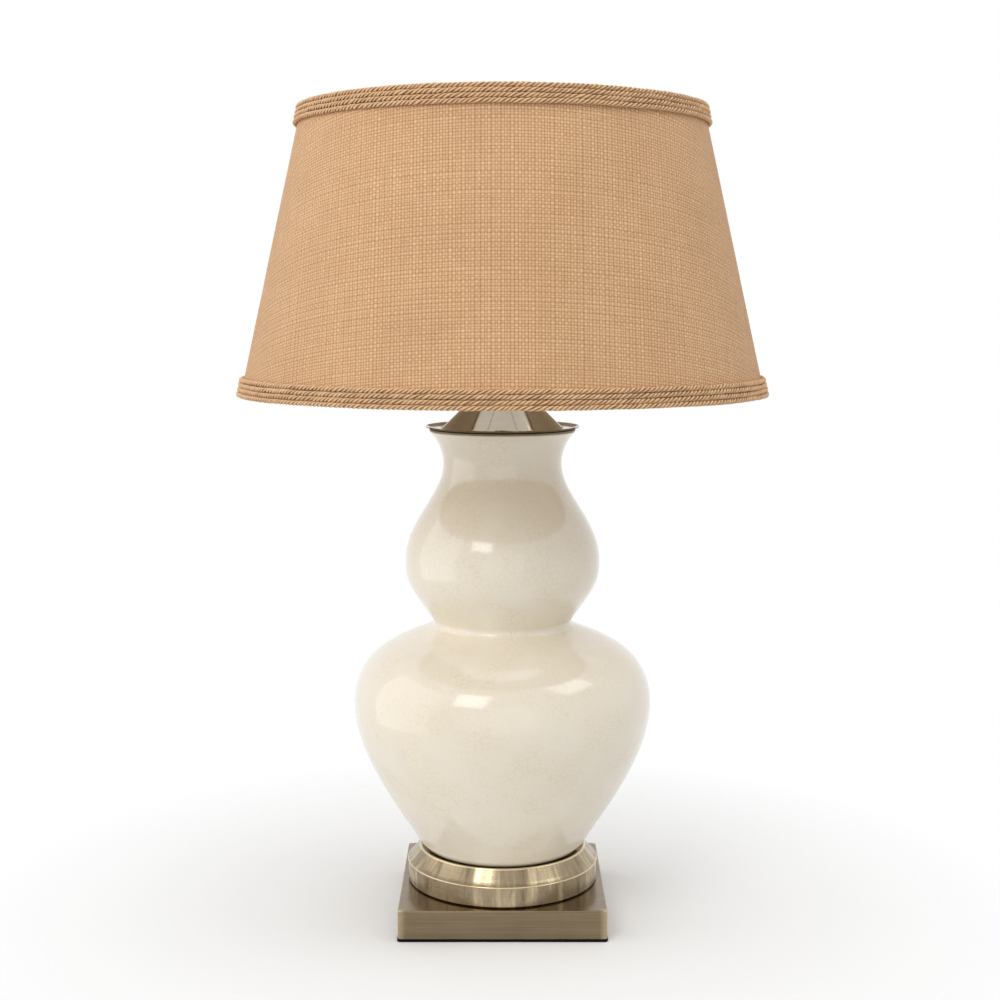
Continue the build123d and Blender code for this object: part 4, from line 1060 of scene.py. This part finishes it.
@dataclass
class Fuzz:
    """Loose fibre ends that stand off jute."""

    name: str
    slot: str
    per_square_metre: float
    length: float = 2.6 * MM
    thickness: float = 0.035 * MM
    seed: int = 5

    @staticmethod
    def recipe() -> GeometryRecipe:
        """The tree that sets bent fibres on a surface.

        Returns:
            The recipe.
        """
        recipe = GeometryRecipe("fibre_ends", {
            "Density": "NodeSocketFloat", "Length": "NodeSocketFloat", "Thickness": "NodeSocketFloat",
            "Seed": "NodeSocketInt", "Material": "NodeSocketMaterial",
        })
        graph, given = recipe.graph, recipe.given
        spread = graph.node("GeometryNodeDistributePointsOnFaces", {"distribute_method": "RANDOM"}, {
            "Mesh": given("Geometry"), "Density": given("Density"), "Seed": given("Seed"),
        })
        length = given("Length")
        bend = graph.out(
            "GeometryNodeCurveQuadraticBezier", 0, None, Resolution=4, Start=(0.0, 0.0, 0.0),
            Middle=graph.combine(length * 0.15, 0.0, length * 0.45),
            End=graph.combine(length * 0.85, length * 0.1, length * 0.35),
        )
        section = graph.out(
            "GeometryNodeCurvePrimitiveCircle", 0, {"mode": "RADIUS"}, Resolution=3, Radius=given("Thickness")
        )
        fibre = graph.out("GeometryNodeCurveToMesh", 0, None, Curve=bend, Profile_Curve=section, Fill_Caps=True)
        spin = graph.node("FunctionNodeRandomValue", {"data_type": "FLOAT_VECTOR"}, {
            0: (-0.5, -0.5, 0.0), 1: (0.5, 0.5, TURN), "Seed": given("Seed"),
        })
        turned = graph.node("FunctionNodeRotateRotation", {"rotation_space": "LOCAL"}, {
            0: Signal(graph, spread.outputs["Rotation"]), 1: Signal(graph, spin.outputs[0]),
        })
        size = graph.node("FunctionNodeRandomValue", {"data_type": "FLOAT"}, {2: 0.4, 3: 1.25, "Seed": given("Seed")})
        placed = graph.out(
            "GeometryNodeInstanceOnPoints", 0, None, Points=Signal(graph, spread.outputs[0]), Instance=fibre,
            Rotation=Signal(graph, turned.outputs[0]), Scale=Signal(graph, size.outputs[1]),
        )
        recipe.end(placed)
        return recipe

    def build(self, recipe: GeometryRecipe, surface: bpy.types.Mesh) -> bpy.types.Object:
        """Grows the fibres on a surface.

        Args:
            recipe: The fibre tree.
            surface: The mesh that they stand on.

        Returns:
            The fibres as one piece.
        """
        mesh = recipe.run({
            "Density": self.per_square_metre, "Length": self.length, "Thickness": self.thickness,
            "Seed": self.seed, "Material": FINISH_OF_SLOT["jute"].material(),
        }, surface)
        return add_piece(self.name, mesh, "shade", self.slot)


@dataclass
class Shade:
    """The whole soft part of the shade."""

    shape: ShadeShape
    cloth_fibres: float = 2600.0
    trim_fibres: float = 5200.0
    trim_fibre_length: float = 2.0 * MM

    def build(self) -> None:
        """Makes the cloth, both trims and the loose fibres."""
        cover = BurlapCover(self.shape)
        cloth = cover.build()
        cover.declare()
        shape, rope = self.shape, RopeTrim.rope
        stack = (RopeTrim.rows - 1) * RopeTrim.row_pitch * math.cos(shape.lean)
        offset = rope / 2 * (1 - math.sin(shape.lean))
        rope_tree = RopeTrim.recipe()
        top = RopeTrim("rope_trim_top", "top_rope_trim", shape.top_z - stack - rope + offset, shape, 3)
        bottom = RopeTrim("rope_trim_bottom", "bottom_rope_trim", shape.bottom_z + offset, shape, 8)
        trims = [trim.build(rope_tree) for trim in (top, bottom)]
        fibre_tree = Fuzz.recipe()
        Fuzz("burlap_fibre_ends", "burlap", self.cloth_fibres).build(fibre_tree, cloth.data.copy())
        for trim, name in zip(trims, ("top_trim_fibre_ends", "bottom_trim_fibre_ends")):
            Fuzz(name, "jute", self.trim_fibres, self.trim_fibre_length).build(fibre_tree, trim.data.copy())


# ---------------------------------------------------------------- base


@dataclass
class FeltPad:
    """The felt under the plinth: square with small round corners and a slightly ragged edge."""

    corner: float = 3.0 * MM
    corner_steps: int = 6
    edge_steps: int = 60
    ragged: float = 0.18 * MM
    levels: Tuple[Tuple[float, float], ...] = ((0.0, 0.35 * MM), (0.25, 0.0), (0.6, 0.0), (1.0, 0.3 * MM))
    seed: int = 4

    def outline(self, half: float) -> np.ndarray:
        """Points round the pad, anticlockwise from above.

        Args:
            half: Half the pad's side.

        Returns:
            An X and a Y for each point.
        """
        reach = half - self.corner
        bend = np.arange(self.corner_steps + 1) / self.corner_steps * TURN / 4
        arc = reach * (1 + 1j) + self.corner * np.exp(1j * bend)
        edge = arc[-1] - 2 * reach * np.arange(1, self.edge_steps) / self.edge_steps
        rim = np.concatenate([np.concatenate([arc, edge]) * 1j ** turn for turn in range(4)])
        return np.column_stack([rim.real, rim.imag])

    def build(self) -> bpy.types.Object:
        """Cuts the felt.

        Returns:
            The pad.
        """
        low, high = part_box("base_felt")
        rng = np.random.default_rng(self.seed)
        rim = self.outline(high.x)
        count = len(rim)
        outward = rim / np.linalg.norm(rim, axis=1)[:, None]
        rings: List[np.ndarray] = []
        for share, inset in self.levels:
            frayed = inset + rng.uniform(0, self.ragged, count)
            level = low.z + share * (high.z - low.z)
            rings.append(np.column_stack([rim - outward * frayed[:, None], np.full(count, level)]))
        points = np.vstack([*rings, [[0, 0, low.z], [0, 0, high.z]]])
        here = np.arange(count)
        after = np.roll(here, -1)
        total = count * len(rings)
        last, bottom, top = total - count, np.full(count, total), np.full(count, total + 1)
        blocks = [np.stack([here, after, after + count, here + count], -1) + first for first in range(0, last, count)]
        blocks += [np.stack([bottom, after, here], -1), np.stack([top, last + here, last + after], -1)]
        faces = [face for block in blocks for face in block.tolist()]
        mesh = bpy.data.meshes.new("felt_pad")
        mesh.from_pydata(points.tolist(), [], faces)
        mesh.update()
        piece = add_piece("felt_pad", mesh, "base", "felt")
        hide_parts("base_felt")
        return piece


@dataclass
class FrameDresser:
    """Gives every carried-over node of the frame its finish."""

    special: Dict[str, Finish]

    def dress(self) -> None:
        """Assigns the finishes by the record's slots."""
        slots = {part["node"]: part["material_slot"] for part in frame["record"]["subparts"]}
        for node, piece in frame["nodes"].items():
            finish = self.special.get(node, FINISH_OF_SLOT[slots[node]])
            piece.data.materials.clear()
            piece.data.materials.append(finish.material())
            log.info("%s: %s", node, finish.name)


# ---------------------------------------------------------------- studio


@dataclass(frozen=True)
class SoftBox:
    """A rectangular lamp that faces the middle of the object."""

    name: str
    azimuth: float
    elevation: float
    distance: float
    width: float
    height: float
    watts: float

    def place(self, target: Vector) -> None:
        """Hangs the lamp.

        Args:
            target: The point that it faces. Azimuth 0 is the camera's side and 90 is +X.
        """
        turn, tilt = math.radians(self.azimuth), math.radians(self.elevation)
        away = Vector((math.sin(turn) * math.cos(tilt), -math.cos(turn) * math.cos(tilt), math.sin(tilt)))
        data = bpy.data.lights.new(self.name, "AREA")
        data.shape, data.size, data.size_y = "RECTANGLE", self.width, self.height
        data.energy = self.watts
        lamp = bpy.data.objects.new(self.name, data)
        lamp.location = target + away * self.distance
        lamp.rotation_euler = away.to_track_quat("Z", "Y").to_euler()
        bpy.context.scene.collection.objects.link(lamp)


@dataclass
class Studio:
    """Floor, lamps, surroundings and camera."""

    floor_half: float = 0.5
    floor_kept: float = 0.14
    floor_drop: float = 0.2 * MM
    floor_paint: float = 0.95
    ambient: float = 0.56
    aim_height: float = 0.38
    camera_place: Tuple[float, float, float] = (-0.0022, -1.4685, 0.5538)
    camera_pitch: float = 0.12
    lens: float = 59.24

    lamps: Tuple[SoftBox, ...] = (
        SoftBox("key_left", -27.0, 37.0, 2.2, 0.9, 0.9, 11.0),
        SoftBox("side_left", -84.0, 12.0, 2.6, 2.8, 3.2, 23.0),
        SoftBox("side_right", 78.0, 52.0, 2.4, 1.2, 1.2, 11.0),
        SoftBox("front_fill", 0.0, 8.0, 3.2, 3.4, 2.4, 12.0),
        SoftBox("overhead", 180.0, 78.0, 2.2, 2.2, 2.2, 6.0),
    )

    def build_floor(self) -> None:
        """A plain white floor that keeps the lamp's shadow and fades into the surroundings."""
        half, level = self.floor_half, -self.floor_drop
        mesh = bpy.data.meshes.new("studio_floor")
        corners = [(x * half, y * half, level) for x, y in ((-1, -1), (1, -1), (1, 1), (-1, 1))]
        mesh.from_pydata(corners, [], [(0, 1, 2, 3)])
        floor = bpy.data.objects.new("studio_floor", mesh)
        bpy.context.scene.collection.objects.link(floor)
        material = bpy.data.materials.new("studio_floor")
        graph = Graph.emptied(material)
        x, y, _ = graph.split(graph.here())
        away = ((x * x + y * y) ** 0.5).between(self.floor_kept, self.floor_half)
        paint = graph.out("ShaderNodeBsdfDiffuse", 0, None, Color=(*(self.floor_paint,) * 3, 1.0))
        open_air = graph.out("ShaderNodeBsdfTransparent", 0)
        both = graph.node("ShaderNodeMixShader", None, {0: away, 1: paint, 2: open_air})
        graph.node("ShaderNodeOutputMaterial", None, {"Surface": Signal(graph, both.outputs[0])})
        mesh.materials.append(material)

    def build_surroundings(self) -> None:
        """White all round where it is seen, and softer as a light."""
        world = bpy.data.worlds.new("studio")
        bpy.context.scene.world = world
        graph = Graph.emptied(world)
        rays = ("Is Camera Ray", "Is Glossy Ray", "Is Transmission Ray")
        paths = graph.node("ShaderNodeLightPath")
        camera, glossy, through = (Signal(graph, paths.outputs[ray]) for ray in rays)
        seen = camera.math("MAXIMUM", glossy).math("MAXIMUM", through)
        strength = seen * (1.0 - self.ambient) + self.ambient
        background = graph.out("ShaderNodeBackground", 0, None, Color=(1.0, 1.0, 1.0, 1.0), Strength=strength)
        graph.node("ShaderNodeOutputWorld", None, {"Surface": background})

    def build_camera(self) -> None:
        """The camera that took the view."""
        data = bpy.data.cameras.new("view")
        data.lens, data.sensor_width, data.clip_end = self.lens, 36.0, 50.0
        camera = bpy.data.objects.new("view", data)
        camera.location = self.camera_place
        camera.rotation_euler = (math.pi / 2 - self.camera_pitch, 0.0, 0.0)
        bpy.context.scene.collection.objects.link(camera)
        bpy.context.scene.camera = camera

    def build(self) -> None:
        """Sets up everything that isn't the lamp."""
        self.build_camera()
        self.build_surroundings()
        self.build_floor()
        target = Vector((0.0, 0.0, self.aim_height))
        for lamp in self.lamps:
            lamp.place(target)
        bpy.context.scene.view_settings.view_transform = "Standard"
        log.info("studio: %d lamps", len(self.lamps))


def main() -> None:
    """Builds the lamp's pieces and the studio, in order."""
    logging.basicConfig(level=logging.INFO, format="%(name)s %(message)s")
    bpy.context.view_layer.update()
    Studio().build()
    FrameDresser(FINISH_OF_NODE).dress()
    Shade(ShadeShape()).build()
    FeltPad().build()


if __name__ == "__main__":
    main()
